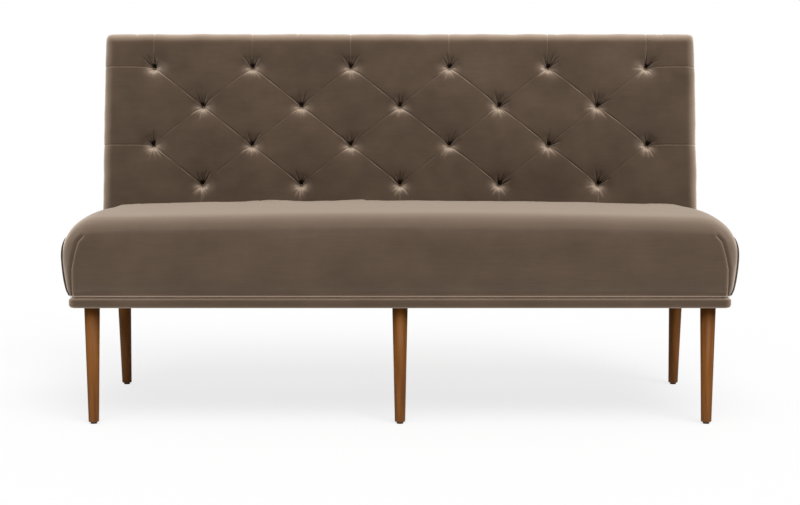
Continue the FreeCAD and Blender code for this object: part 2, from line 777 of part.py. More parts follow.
# Back frame
def sketch_on(body, role):
    plane = [item for item in body.Origin.OriginFeatures if item.Role == role][0]
    sketch = body.newObject("Sketcher::SketchObject", body.Name + "_sketch")
    sketch.AttachmentSupport = [(plane, "")]
    sketch.MapMode = "FlatFace"
    return sketch


def pin_point(sketch, geometry, end, along, up):
    """Hold a point of a sketch at two formulas, measured from the sketch's origin."""
    for kind, formula in (("DistanceX", along), ("DistanceY", up)):
        number = sketch.addConstraint(Sketcher.Constraint(kind, -1, 1, geometry, end, 1.0))
        sketch.setDatum(number, value_of(formula))
        sketch.setExpression(f"Constraints[{number}]", formula)


def value_of(formula):
    """The number of a formula that is one name of the sheet or the places, with or without a minus."""
    name = formula.split(".")[-1]
    return -value(name) if formula.startswith("-") else value(name)


def outline(sketch, corners):
    """A closed outline through corners that are each held by two formulas."""
    points = [Vector(value_of(along), value_of(up), 0) for along, up in corners]
    first = sketch.GeometryCount
    for start, end in zip(points, points[1:] + points[:1]):
        sketch.addGeometry(Part.LineSegment(start, end), False)
    for number, (along, up) in enumerate(corners):
        before = first + (number - 1) % len(corners)
        sketch.addConstraint(Sketcher.Constraint("Coincident", before, 2, first + number, 1))
        pin_point(sketch, first + number, 1, along, up)


def back_stile(name, left):
    """An outer stile cut from plywood in profile: a slim post on a deep foot that is cut level."""
    body = doc.addObject("PartDesign::Body", name)
    sketch = sketch_on(body, "YZ_Plane")
    outline(
        sketch,
        (
            ("Places.foot_face", "Places.foot_face_cut"),
            ("Places.frame_back", "Places.frame_back_cut"),
            ("Places.frame_back", "Places.panel_shoulder"),
            ("Places.frame_face", "Places.panel_shoulder"),
            ("Places.frame_face", "Sizes.back_foot_height"),
            ("Places.foot_face", "Sizes.back_foot_height"),
        ),
    )
    pad = body.newObject("PartDesign::Pad", name + "_pad")
    pad.Profile = sketch
    pad.setExpression("Length", "Sizes.stile_thickness")
    body.Placement = raked
    bind(body, dict(zip(BASE, raked_place((left, "0", "0")))))
    body.setExpression("Placement.Rotation.Angle", "-Sizes.back_rake")
    return body


for label, left in (("back_stile_left", "-Places.stile_outer"), ("back_stile_right", "Places.stile_inner")):
    keep(bored(label, back_stile(label + "_blank", left), bolt_bores), label)
stile_deep = "Sizes.stile_depth"
across_back = "2 * Places.stile_inner"
keep(
    raked_board(
        "top_rail",
        (across_back, stile_deep, "Sizes.back_rail_height"),
        ("-Places.stile_inner", "Places.frame_face", "Places.stile_top - Sizes.back_rail_height"),
    ),
    "back_top_rail",
)
keep(
    raked_board(
        "bottom_rail",
        (across_back, stile_deep, "Sizes.back_rail_height"),
        ("-Places.stile_inner", "Places.frame_face", "Sizes.back_bottom_rail_rise"),
    ),
    "back_bottom_rail",
)
for label, middle in (
    ("back_post_left", "-Places.post_line"),
    ("back_post_right", "Places.post_line"),
):
    rise = "(Sizes.back_bottom_rail_rise + Sizes.back_rail_height)"
    run = f"Places.stile_top - Sizes.back_rail_height - {rise}"
    keep(
        raked_board(
            label,
            (rail_thick, stile_deep, run),
            (f"{middle} - {rail_thick} / 2", "Places.frame_face", rise),
        ),
        label,
    )

# Tufts: two long rows and two short ones, set like bricks
half_pitch = value("half_tuft_pitch")
columns = int(value("tuft_columns"))
long_row = range(1 - columns, columns, 2)
short_row = range(2 - columns, columns - 1, 2)
tuft_rows = []
for row, places_in_row in enumerate((long_row, short_row, long_row, short_row)):
    up = value("back_length") - value("tuft_top_margin") - row * value("tuft_row_spacing")
    tuft_rows.append([(half_pitch * place, up) for place in places_in_row])
tufts = [tuft for row in tuft_rows for tuft in row]


def tufting_panel():
    """A thin board behind the foam, drilled for the twine of each tuft."""
    body = doc.addObject("PartDesign::Body", "tufting_board")
    sketch = sketch_on(body, "XZ_Plane")
    outline(
        sketch,
        (
            ("-Places.stile_outer", "Places.panel_foot"),
            ("Places.stile_outer", "Places.panel_foot"),
            ("Places.stile_outer", "Places.panel_shoulder"),
            ("Places.panel_half_top", "Places.stile_top"),
            ("-Places.panel_half_top", "Places.stile_top"),
            ("-Places.stile_outer", "Places.panel_shoulder"),
        ),
    )
    radius = value("twine_diameter")
    for x, up in tufts:
        hole = sketch.addGeometry(Part.Circle(Vector(x, up, 0), Vector(0, 0, 1), radius), False)
        size = sketch.addConstraint(Sketcher.Constraint("Radius", hole, radius))
        sketch.setExpression(f"Constraints[{size}]", "Sizes.twine_diameter")
        sketch.addConstraint(Sketcher.Constraint("DistanceX", -1, 1, hole, 3, x))
        sketch.addConstraint(Sketcher.Constraint("DistanceY", -1, 1, hole, 3, up))
    pad = body.newObject("PartDesign::Pad", "tufting_board_pad")
    pad.Profile = sketch
    pad.setExpression("Length", "Sizes.tufting_panel_thickness")
    body.Placement = raked
    corner = raked_place(("0", "Places.frame_face", "0"))
    bind(body, dict(zip(BASE, corner)))
    body.setExpression("Placement.Rotation.Angle", "-Sizes.back_rake")
    return body


keep(tufting_panel(), "tufting_panel")


def dimple(x, up, inset):
    """The hollow of one tuft: a well whose sides roll in like the edge of a pillow."""
    radius = value("tuft_radius") - inset
    full = value("tuft_radius")
    centre = (full + value("tuft_floor_radius"), full - value("tuft_rim_depth"))
    floor = value("tuft_depth") + inset
    foot = centre[0] - math.sqrt(radius**2 - (centre[1] - floor) ** 2)
    turn = (math.pi / 2 + math.asin((centre[1] - floor) / radius)) / 2
    middle = (centre[0] - radius * math.sin(turn), centre[1] - radius * math.cos(turn))
    rim = centre[1] - radius

    def at(point):
        return Vector(point[0], point[1], 0)

    over = -value("tuft_depth")
    edges = [
        Part.LineSegment(at((0, over)), at((centre[0], over))).toShape(),
        Part.LineSegment(at((centre[0], over)), at((centre[0], rim))).toShape(),
        Part.Arc(at((centre[0], rim)), at(middle), at((foot, floor))).toShape(),
        Part.LineSegment(at((foot, floor)), at((0, floor))).toShape(),
        Part.LineSegment(at((0, floor)), at((0, over))).toShape(),
    ]
    well = Part.Face(Part.Wire(edges)).revolve(Vector(0, 0, 0), Vector(0, 1, 0), 360)
    well.translate(Vector(x, 0, up))
    return well


def pleat(start, end, inset):
    """The groove of a sewn fold between two points of the back's face."""
    radius = value("pleat_radius")
    height = value("pleat_depth") - radius
    base = Vector(start[0], height, start[1])
    along = Vector(end[0], height, end[1]) - base
    return Part.makeCylinder(radius + inset, along.Length, base, along)


def wells(inset):
    return [dimple(x, up, inset) for x, up in tufts]


def pleats(inset):
    """The folds that join the tufts into diamonds and run out over the edges of the back."""
    folds = []
    for row, below in zip(tuft_rows, tuft_rows[1:]):
        for x, up in row:
            near = [tuft for tuft in below if abs(abs(tuft[0] - x) - half_pitch) < gap]
            folds += [pleat((x, up), tuft, inset) for tuft in near]
    beyond = value("half_back") + half_pitch
    folds += [pleat((x, up), (x, value("back_length") + half_pitch), inset) for x, up in tuft_rows[0]]
    folds += [pleat((x, up), (x, 0), inset) for x, up in tuft_rows[-1]]
    for row in (tuft_rows[0], tuft_rows[2]):
        folds += [pleat((x, up), (math.copysign(beyond, x), up), inset) for x, up in (row[0], row[-1])]
    return folds


def slab(inset, rear):
    """The back's outer block, drawn in by an inset, with round top corners and a rolled front rim."""
    half = value("half_back") - inset
    top = value("back_length") - inset
    block = solid_box((-half, inset, -half), (half, rear, top))
    corners = edges_where(block, lambda edge: edge.BoundBox.YLength > inset and edge.BoundBox.ZMin > 0)
    block = block.makeFillet(value("back_corner_radius") - inset, corners)
    front = edges_where(block, lambda edge: edge.BoundBox.YMax < inset + NEAR and edge.BoundBox.ZMax > 0)
    return block.makeFillet(value("back_edge_radius") - inset, front)


def tufted(inset, rear, with_pleats=True):
    """The tufted block: one half is cut and mirrored, because the back is the same on both sides."""
    reach_out = value("half_back") * 2
    half = solid_box((0, -reach_out, -reach_out), (reach_out, reach_out, reach_out))
    near_side = -value("tuft_radius") * 2
    cutters = wells(inset) + (pleats(inset) if with_pleats else [])
    cutters = [cutter for cutter in cutters if cutter.BoundBox.Center.x > near_side]
    right = slab(inset, rear).common(half).cut(cutters)
    return right.fuse(right.mirror(Vector(0, 0, 0), Vector(1, 0, 0))).removeSplitter()


def above(up):
    """Everything higher up the slope of the back than a given length."""
    return solid_box((-reach, -reach, up), (reach, reach, reach))


def below_level(height):
    """Everything under a level plane of the bench's frame, as the back sees it."""
    return in_back(solid_box((-reach, -reach, -reach), (reach, reach, height)))


def in_front_of(deep):
    return solid_box((-reach, -reach, -reach), (reach, deep, reach))


def raked_piece(name, shape):
    piece = shaped(name, shape)
    piece.Placement = raked
    return piece


def twine_holes(radius):
    run = value("back_thickness")
    return [Part.makeCylinder(radius, run, Vector(x, 0, up), Vector(0, 1, 0)) for x, up in tufts]


cover_rear = value("back_thickness") - cover
foot = value("back_foot_height")
padded = tufted(cover, value("back_thickness"))
half_mouth = value("stile_inner") + gap
mouth = solid_box((-half_mouth, -reach, -reach), (half_mouth, value("frame_face"), foot))
back_skin = tufted(0, cover_rear).cut(padded).cut([mouth, below_level(value("seat_bottom"))])
keep(raked_piece("back_skin", back_skin), "back_cover")
well_floor = cover + gap + wadding + value("pleat_depth")
padded.translate(Vector(0, gap, 0))
fleece_back = tufted(well_floor, value("back_thickness"), False)
fleece = padded.cut(fleece_back).common(above(foot + gap)).common(in_front_of(value("back_padding") - gap))
twine = value("twine_diameter") / 2
twine_room = twine_holes(twine + gap)
keep(raked_piece("back_fleece", fleece.cut(twine_room)), "back_wadding")
foam = tufted(well_floor + gap, value("back_padding") - gap, False).common(above(foot + gap))
keep(raked_piece("back_block", foam.cut(twine_room)), "back_foam")

lining_half = value("half_back") - value("back_corner_radius")
lining = solid_box(
    (-lining_half, value("frame_back") + gap, 0),
    (lining_half, value("frame_back") + gap + value("lining_thickness"), value("stile_top")),
)
keep(raked_piece("lining", lining.cut(below_level(value("seat_bottom")))), "outside_back_lining")
outside = slab(0, value("back_thickness")).cut(in_front_of(cover_rear))
keep(raked_piece("outside_back", outside.cut(below_level(value("seat_bottom")))), "outside_back_cover")

# Tuft ties
tie_front = value("tuft_depth") + cover + gap
tie_run = value("frame_face") + gap - tie_front
toggle_radius = value("toggle_diameter") / 2
toggle_line = tie_front + tie_run + toggle_radius
through = Vector(0, 1, 0)
ties = [Part.makeCylinder(twine, tie_run, Vector(x, tie_front, up), through) for x, up in tufts]
keep(raked_piece("ties", Part.makeCompound(ties)), "tuft_twines")
toggle_length = value("toggle_length")
toggles = []
for x, up in tufts:
    end = Vector(x - toggle_length / 2, toggle_line, up)
    toggles.append(Part.makeCylinder(toggle_radius, toggle_length, end, Vector(1, 0, 0)))
keep(raked_piece("toggles", Part.makeCompound(toggles)), "tuft_toggles")

doc.recompute()
for item in doc.Objects:
    if "Invalid" in item.State or "Error" in item.State:
        raise RuntimeError(f"{item.Name} did not build: {item.State}")
for piece in nodes:
    if piece.Shape.isNull() or not piece.Shape.isValid() or not piece.Shape.Solids:
        raise RuntimeError(f"{piece.Label} has no sound solid")

os.makedirs("parts", exist_ok=True)
for piece in nodes:
    piece.Shape.exportStep(os.path.join("parts", piece.Label + ".step"))
print(len(nodes), "parts written")
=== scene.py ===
# %% [markdown]
# # An upholstered bench, dressed in velvet
# The CAD model already holds the frame of the bench: its boards, springs, legs and bolts.
# Here it gets what the eye sees: the velvet over foam, the blind tufts and folds of the back,
# the oiled wood of the legs, and a plain white studio.

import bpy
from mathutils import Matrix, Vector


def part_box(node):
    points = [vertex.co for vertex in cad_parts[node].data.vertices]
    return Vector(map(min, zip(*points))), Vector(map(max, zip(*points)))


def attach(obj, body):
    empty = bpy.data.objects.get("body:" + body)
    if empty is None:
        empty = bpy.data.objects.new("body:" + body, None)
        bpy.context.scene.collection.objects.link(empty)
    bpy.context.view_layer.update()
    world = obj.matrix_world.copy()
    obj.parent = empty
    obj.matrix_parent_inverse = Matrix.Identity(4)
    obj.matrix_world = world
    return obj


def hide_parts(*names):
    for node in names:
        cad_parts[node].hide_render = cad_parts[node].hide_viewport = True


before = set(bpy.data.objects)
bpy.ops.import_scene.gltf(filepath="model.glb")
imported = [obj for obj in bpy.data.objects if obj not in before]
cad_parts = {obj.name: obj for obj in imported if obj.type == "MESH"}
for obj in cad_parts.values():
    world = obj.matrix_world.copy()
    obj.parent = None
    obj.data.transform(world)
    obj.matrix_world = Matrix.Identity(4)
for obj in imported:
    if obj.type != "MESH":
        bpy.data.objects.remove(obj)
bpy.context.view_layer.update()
print(len(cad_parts), "CAD nodes")

# %% Modules
import math

import bmesh
import bpy
import numpy as np
from mathutils import Matrix, Vector

# %% [markdown]
# ## Camera
# The photograph looks straight at the bench from a little above its top, from about four
# metres away. A long lens keeps the legs nearly upright. The tiny vertical shift does the
# rest, as a product photographer's shift lens would.

# %% Camera
SENSOR_WIDTH = 36.0
LENS = 76.95
CAMERA_PLACE = (0.0, -4.149, 0.837)
CAMERA_PITCH = math.radians(5.15)
SHIFT = -0.05

camera_data = bpy.data.cameras.new("camera")
camera_data.sensor_width = SENSOR_WIDTH
camera_data.lens = LENS
camera_data.shift_y = SHIFT
camera = bpy.data.objects.new("camera", camera_data)
camera.location = CAMERA_PLACE
camera.rotation_euler = (math.pi / 2 - CAMERA_PITCH, 0.0, 0.0)
bpy.context.scene.collection.objects.link(camera)
bpy.context.scene.camera = camera
print("camera", camera.location, "lens", LENS)

# %% [markdown]
# ## Helpers
# Every piece is built as a bmesh, turned into an object that sits at the origin, and then
# told which CAD nodes it stands for.


# %% From a bmesh to a piece
def make_piece(name, shape, smooth=True):
    """Turn a bmesh into an object of that name."""
    mesh = bpy.data.meshes.new(name)
    shape.to_mesh(mesh)
    shape.free()
    for face in mesh.polygons:
        face.use_smooth = smooth
    piece = bpy.data.objects.new(name, mesh)
    bpy.context.scene.collection.objects.link(piece)
    return piece


def seat_on_frame(piece, slot, *nodes):
    """The piece rides on the bench's one body and takes the place of these CAD nodes."""
    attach(piece, "root")
    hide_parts(*nodes)
    print(piece.name, len(piece.data.polygons), "faces")


def read_points(mesh):
    points = np.empty(len(mesh.vertices) * 3)
    mesh.vertices.foreach_get("co", points)
    return points.reshape(-1, 3)


def write_points(mesh, points):
    mesh.vertices.foreach_set("co", points.ravel())
    mesh.update()


# %% Cuts, round edges and boxes
def cut_shape(shape, place, outward, clear=True, close=False):
    """Cut a bmesh along a plane. What lies outward goes, and the opening may be closed."""
    everything = shape.verts[:] + shape.edges[:] + shape.faces[:]
    cut = bmesh.ops.bisect_plane(
        shape, geom=everything, plane_co=place, plane_no=outward, clear_outer=clear
    )
    if close:
        rim = [item for item in cut["geom_cut"] if isinstance(item, bmesh.types.BMEdge)]
        bmesh.ops.holes_fill(shape, edges=rim, sides=0)


def round_edges(shape, edges, radius, segments):
    bmesh.ops.bevel(
        shape, geom=edges, offset=radius, segments=segments, profile=0.5, affect="EDGES", material=-1
    )


def smooth_points(shape, points):
    bmesh.ops.smooth_vert(
        shape, verts=points, factor=0.5, use_axis_x=True, use_axis_y=True, use_axis_z=True
    )


def box_shape(half, front, rear, low, high):
    """A box that is even about the middle of the bench."""
    shape = bmesh.new()
    bmesh.ops.create_cube(shape, size=1.0)
    scale = Matrix.Diagonal((2 * half, rear - front, high - low, 1.0))
    middle = Matrix.Translation((0, (rear + front) / 2, (high + low) / 2))
    bmesh.ops.transform(shape, matrix=middle @ scale, verts=shape.verts[:])
    return shape


# %% [markdown]
# ## Sizes
# All sizes are in metres and follow the CAD model. The velvet stands a few millimetres
# fuller than the CAD where the photograph shows it so: on the seat's crown and on the top and
# sides of the back. The back leans by ten degrees about its front lower edge, so a point of
# the back is given across, deep and up its own slope.

# %% Sizes
BASE_TOP = 0.293
BAND_TOP = 0.2945
BAND_BOTTOM = 0.2715
BASE_HALF = 0.7545
BASE_FRONT = -0.3055
BASE_REAR = 0.2245
BACK_FOOT_Y = 0.1195
BACK_RAKE = math.radians(10)
BACK_HALF = 0.7530
BACK_LENGTH = 0.6190
BACK_THICKNESS = 0.095
REST_GAP = 0.0003

COS_RAKE = math.cos(BACK_RAKE)
SIN_RAKE = math.sin(BACK_RAKE)


def lean(points):
    """Points of the back (across, deep, up its slope) brought into the bench's frame."""
    across, deep, up = points.T
    y = BACK_FOOT_Y + deep * COS_RAKE + up * SIN_RAKE
    z = BASE_TOP - deep * SIN_RAKE + up * COS_RAKE
    return np.column_stack((across, y, z))


# %% [markdown]
# ## The tufted back
# The back is one sheet of velvet drawn over foam. Twenty-two blind tufts pull it in, with no
# buttons, and the spare cloth between them is laid in folds that make diamonds. So the sheet
# here is a grid whose two directions run along those folds: turned to the diamonds, and with
# its lines crowded where the folds and tufts are. A crisp fold then needs few faces.

# %% The tuft layout
TUFT_STEP = 0.1255
ROW_STEP = 0.100
FIRST_ROW = 0.532
LONG_ROW = (-5, -3, -1, 1, 3, 5)
SHORT_ROW = (-4, -2, 0, 2, 4)
tufts = []
for row, columns in enumerate((LONG_ROW, SHORT_ROW, LONG_ROW, SHORT_ROW)):
    for column in columns:
        tufts.append((column, row))
print(len(tufts), "tufts")

CELLS = 11
FIRST_CELL = -4
LINES_PER_CELL = 48
CROWDING = 0.70


# %% The flat sheet, laid along the diamonds
EDGE_ROLL = 0.026
CORNER_POWER = 4
REAR_COVER = 0.0015
SHEET_SPARE = 0.004
SIDE_RUN = BACK_THICKNESS - REAR_COVER - EDGE_ROLL
SHEET_HALF = BACK_HALF - EDGE_ROLL + EDGE_ROLL * math.pi / 2 + SIDE_RUN + SHEET_SPARE
SHEET_TOP = BACK_LENGTH - EDGE_ROLL + EDGE_ROLL * math.pi / 2 + SIDE_RUN + SHEET_SPARE
SHEET_BOTTOM = -0.01

sheet = bmesh.new()
grid_lines = CELLS * LINES_PER_CELL
bmesh.ops.create_grid(sheet, x_segments=grid_lines, y_segments=grid_lines, size=0.5)
for vert in sheet.verts:
    along = FIRST_CELL + CELLS * (vert.co.x + 0.5)
    down = FIRST_CELL + CELLS * (vert.co.y + 0.5)
    along -= CROWDING * math.sin(2 * math.pi * along) / (2 * math.pi)
    down -= CROWDING * math.sin(2 * math.pi * down) / (2 * math.pi)
    vert.co.x = (along - down) * TUFT_STEP
    vert.co.y = FIRST_ROW - (along + down - 1) * ROW_STEP
    vert.co.z = 0.0
bounds_of_sheet = (
    ((SHEET_HALF, 0, 0), (1, 0, 0)),
    ((-SHEET_HALF, 0, 0), (-1, 0, 0)),
    ((0, SHEET_TOP, 0), (0, 1, 0)),
    ((0, SHEET_BOTTOM, 0), (0, -1, 0)),
)
for place, outward in bounds_of_sheet:
    cut_shape(sheet, place, outward)
print("flat sheet", len(sheet.faces), "faces")


# %% Extra lines where folds run straight up, down and sideways
def fold_lines():
    """The straight folds: up from the top row, down from the lowest, out from rows 0 and 2."""
    lines = []
    for column in LONG_ROW:
        lines.append(((column * TUFT_STEP, FIRST_ROW), (column * TUFT_STEP, SHEET_TOP)))
    lowest = FIRST_ROW - 3 * ROW_STEP
    for column in SHORT_ROW:
        lines.append(((column * TUFT_STEP, lowest), (column * TUFT_STEP, SHEET_BOTTOM)))
    for row in (0, 2):
        up = FIRST_ROW - row * ROW_STEP
        for side in (-1, 1):
            lines.append(((side * 5 * TUFT_STEP, up), (side * SHEET_HALF, up)))
    return lines


straight_folds = fold_lines()
FOLD_CUTS = (-0.0045, -0.0022, -0.0011, 0.0, 0.0011, 0.0022, 0.0045)
NEAR_FOLD = 0.008
for (x0, w0), (x1, w1) in straight_folds:
    upright = abs(x1 - x0) < 1e-6
    low_x, high_x = min(x0, x1) - NEAR_FOLD, max(x0, x1) + NEAR_FOLD
    low_w, high_w = min(w0, w1) - NEAR_FOLD, max(w0, w1) + NEAR_FOLD
    near = []
    for face in sheet.faces:
        middle = face.calc_center_median()
        if low_x < middle.x < high_x and low_w < middle.y < high_w:
            near.append(face)
    geometry = list({vert for face in near for vert in face.verts})
    geometry += list({edge for face in near for edge in face.edges}) + near
    for offset in FOLD_CUTS:
        place = (x0 + offset, 0, 0) if upright else (0, w0 + offset, 0)
        outward = (1, 0, 0) if upright else (0, 1, 0)
        cut = bmesh.ops.bisect_plane(sheet, geom=geometry, plane_co=place, plane_no=outward)
        geometry = cut["geom"]
print("with fold lines", len(sheet.faces), "faces")

# %% [markdown]
# Each tuft is a deep, narrow pit with a wide, shallow dent round it. Its lower wall is steep
# and catches the light, and its upper wall is a longer slope that stays dark. Short creases
# fan out of it, longest above, where the cloth hangs from the next row. The long folds have
# two sides too: the cloth above dips slowly and the cloth below comes up at once, so each
# shows as a thin light line under a thin dark one. Directions and breaks come from a fixed
# seed.

# %% How deep the velvet is drawn in
PIT_DEPTH = 0.030
PIT_WIDTH = 0.0112
PIT_SHARPNESS = 1.25
PIT_WIDEN = 1.3
PIT_BELOW, PIT_ABOVE = 1.15, 1.0
DENT_DEPTH = 0.0070
DENT_WIDTH = 0.040
FOLD_DEPTH = 0.0017
FOLD_ABOVE, FOLD_BELOW = 0.0022, 0.0011
FOLD_DENT = 0.0010
FOLD_DENT_WIDTH = 0.012
STRAIGHT_FOLD_DEPTH = 0.0013
STRAIGHT_FOLD_WIDTH = 0.0015
CORNER_PULL = 0.0015
# Middle and spread of the fan in degrees, how many, shortest and longest reach, depth
UPPER_CREASES = (92, 50, 5, 0.024, 0.048, 0.0060)
LOWER_CREASES = (-88, 62, 6, 0.020, 0.046, 0.0046)
CREASE_WIDTH, CREASE_WIDENS = 0.0011, 0.0020
EDGE_CREASE_DEPTH, EDGE_CREASE_WIDTH = 0.0016, 0.0022
EDGE_CREASES = (
    ((0.656, 0.590), (0.662, 0.650)),
    ((0.668, 0.588), (0.669, 0.650)),
    ((-0.671, 0.600), (-0.672, 0.650)),
    ((0.402, 0.606), (0.400, 0.650)),
    ((-0.262, 0.606), (-0.260, 0.650)),
)
RIGHT_TURN = math.radians(-26)
chance = np.random.RandomState(11)


def groove(distance, width):
    return np.exp(-((distance / width) ** 2))


def lipped_groove(above, wide, narrow):
    """A groove with a slow slope on its upper side and a sudden one on its lower side."""
    return np.where(above > 0, groove(above, wide), groove(above, narrow))


def along_line(x, w, start, end):
    """Each point's signed distance from a line, its share of the way along, and the length."""
    run = math.hypot(end[0] - start[0], end[1] - start[1])
    way = ((end[0] - start[0]) / run, (end[1] - start[1]) / run)
    step = (x - start[0]) * way[0] + (w - start[1]) * way[1]
    beside = (x - start[0]) * -way[1] + (w - start[1]) * way[0]
    return beside, step / run, run


def fade(share, start, end):
    """A smooth ramp from 0 to 1."""
    t = np.clip((share - start) / (end - start), 0, 1)
    return t * t * (3 - 2 * t)


def turn_of_tuft(tuft_x):
    """Tufts on the right half are pulled askew, so their creases lean to the right."""
    return RIGHT_TURN * float(fade(tuft_x, 0.0, 0.30))


def about_tuft(x, w, place):
    """Points across and up from a tuft, turned with it."""
    turn = turn_of_tuft(place[0])
    across, up = x - place[0], w - place[1]
    cos_turn, sin_turn = math.cos(turn), math.sin(turn)
    return across * cos_turn + up * sin_turn, up * cos_turn - across * sin_turn


def tuft_pits(x, w):
    depth = np.zeros_like(x)
    for place in tuft_places:
        across, up = about_tuft(x, w, place)
        steep = np.where(up < 0, PIT_BELOW, PIT_ABOVE)
        distance = np.hypot(across / PIT_WIDEN, up * steep)
        depth += PIT_DEPTH * np.exp(-((distance / PIT_WIDTH) ** PIT_SHARPNESS))
        depth += DENT_DEPTH * groove(np.hypot(across, up), DENT_WIDTH)
    return depth


# %% Where the creases and folds run
tuft_places = [(column * TUFT_STEP, FIRST_ROW - row * ROW_STEP) for column, row in tufts]
creases = []
for tuft_x, tuft_w in tuft_places:
    for middle, spread, count, short, long, deep in (UPPER_CREASES, LOWER_CREASES):
        for number in range(count):
            share = (number + 0.5) / count * 2 - 1
            turn = math.radians(middle + spread * share + chance.uniform(-8, 8)) + turn_of_tuft(tuft_x)
            reach = chance.uniform(short, long)
            tip = (tuft_x + reach * math.cos(turn), tuft_w + reach * math.sin(turn))
            creases.append(((tuft_x, tuft_w), tip, deep * chance.uniform(0.5, 1.0), middle > 0))
folds = []
for column, row in tufts:
    start = (column * TUFT_STEP, FIRST_ROW - row * ROW_STEP)
    for side in (-1, 1):
        if (column + side, row + 1) in tufts:
            end = (start[0] + side * TUFT_STEP, start[1] - ROW_STEP)
            folds.append((start, end, side, 1.0 if side == 1 else 0.42, chance.uniform(0, 1)))
print(len(creases), "creases,", len(folds), "folds")


def tuft_creases(x, w):
    depth = np.zeros_like(x)
    for start, tip, strength, _ in creases:
        beside, share, _ = along_line(x, w, start, tip)
        width = CREASE_WIDTH + CREASE_WIDENS * np.clip(share, 0, 1)
        ends = fade(share, 0.08, 0.24) * (1 - fade(share, 0.30, 1.0))
        depth += strength * ends * groove(beside, width)
    return depth


def fold_reach(x, w, fold):
    """How far above a fold each point lies, and how strong the fold is beside it."""
    start, end, side, strength, phase = fold
    beside, share, _ = along_line(x, w, start, end)
    broken = 0.7 + 0.3 * np.sin(2 * np.pi * (share * 2.2 + phase))
    inside = fade(share, 0.02, 0.11) * (1 - fade(share, 0.93, 1.00))
    return beside * side, strength * broken * inside


def diamond_folds(x, w):
    depth = np.zeros_like(x)
    for fold in folds:
        above, strength = fold_reach(x, w, fold)
        depth += FOLD_DEPTH * strength * lipped_groove(above, FOLD_ABOVE, FOLD_BELOW)
        depth += FOLD_DENT * strength * groove(above, FOLD_DENT_WIDTH)
    return depth


def edge_folds(x, w):
    """The straight folds out to the edges, and a few small creases along the top."""
    depth = np.zeros_like(x)
    for start, end in straight_folds:
        beside, share, _ = along_line(x, w, start, end)
        inside = fade(share, -0.05, 0.02)
        depth += STRAIGHT_FOLD_DEPTH * inside * groove(beside, STRAIGHT_FOLD_WIDTH)
        depth += 0.5 * FOLD_DENT * inside * groove(beside, FOLD_DENT_WIDTH)
    for start, end in EDGE_CREASES:
        beside, share, _ = along_line(x, w, start, end)
        depth += EDGE_CREASE_DEPTH * fade(share, 0.0, 0.5) * groove(beside, EDGE_CREASE_WIDTH)
    return depth


def depth_of_sheet(x, w):
    depth = tuft_pits(x, w) + tuft_creases(x, w)
    depth += diamond_folds(x, w) + edge_folds(x, w)
    depth += CORNER_PULL * fade(w, 0.46, 0.60) * fade(np.abs(x), 0.70, 0.76)
    # The foam is never quite even: two gentle waves that don't repeat across the back
    depth += 0.0006 * np.sin(41 * x + 13 * w + 1.0) * np.sin(37 * w - 11 * x + 0.4)
    depth += 0.0004 * np.sin(83 * x - 29 * w + 2.2) * np.sin(71 * w + 23 * x)
    return depth


# %% [markdown]
# Light and shade are painted onto the back as one number for each point, which the velvet
# reads: from -1 for painted shade in the pits, in the upper creases and above each fold, to 1
# for a painted highlight on the lips, the lower creases, below each fold and along the rims.
# The back is also painted paler towards its top and darker towards its foot.

# %% How the painted light and shade lie
LIP_FROM, LIP_TO = 0.0045, 0.0225
LIP_RAYS, RAY_OFFSET = 11, 200
CORE_FOOT, CORE_SPREAD, CORE_HEIGHT = 0.0016, 0.42, 0.0135
CREASE_LINE = 0.0012
FOLD_LINE = 0.0010
# Strength of the painted highlight on the top, left and right rims, and of the painted light that is
# paler towards the top
RIM_HIGHLIGHT_TOP, RIM_HIGHLIGHT_LEFT, RIM_HIGHLIGHT_RIGHT = 0.66, 0.36, 0.50
PAINTED_FALLOFF = 0.11


def rim_band(run, edge):
    """A band along the rolled edge, at its full strength just before the edge."""
    return fade(run, edge - 0.030, edge - 0.010) * (1 - fade(run, edge + 0.010, edge + 0.030))


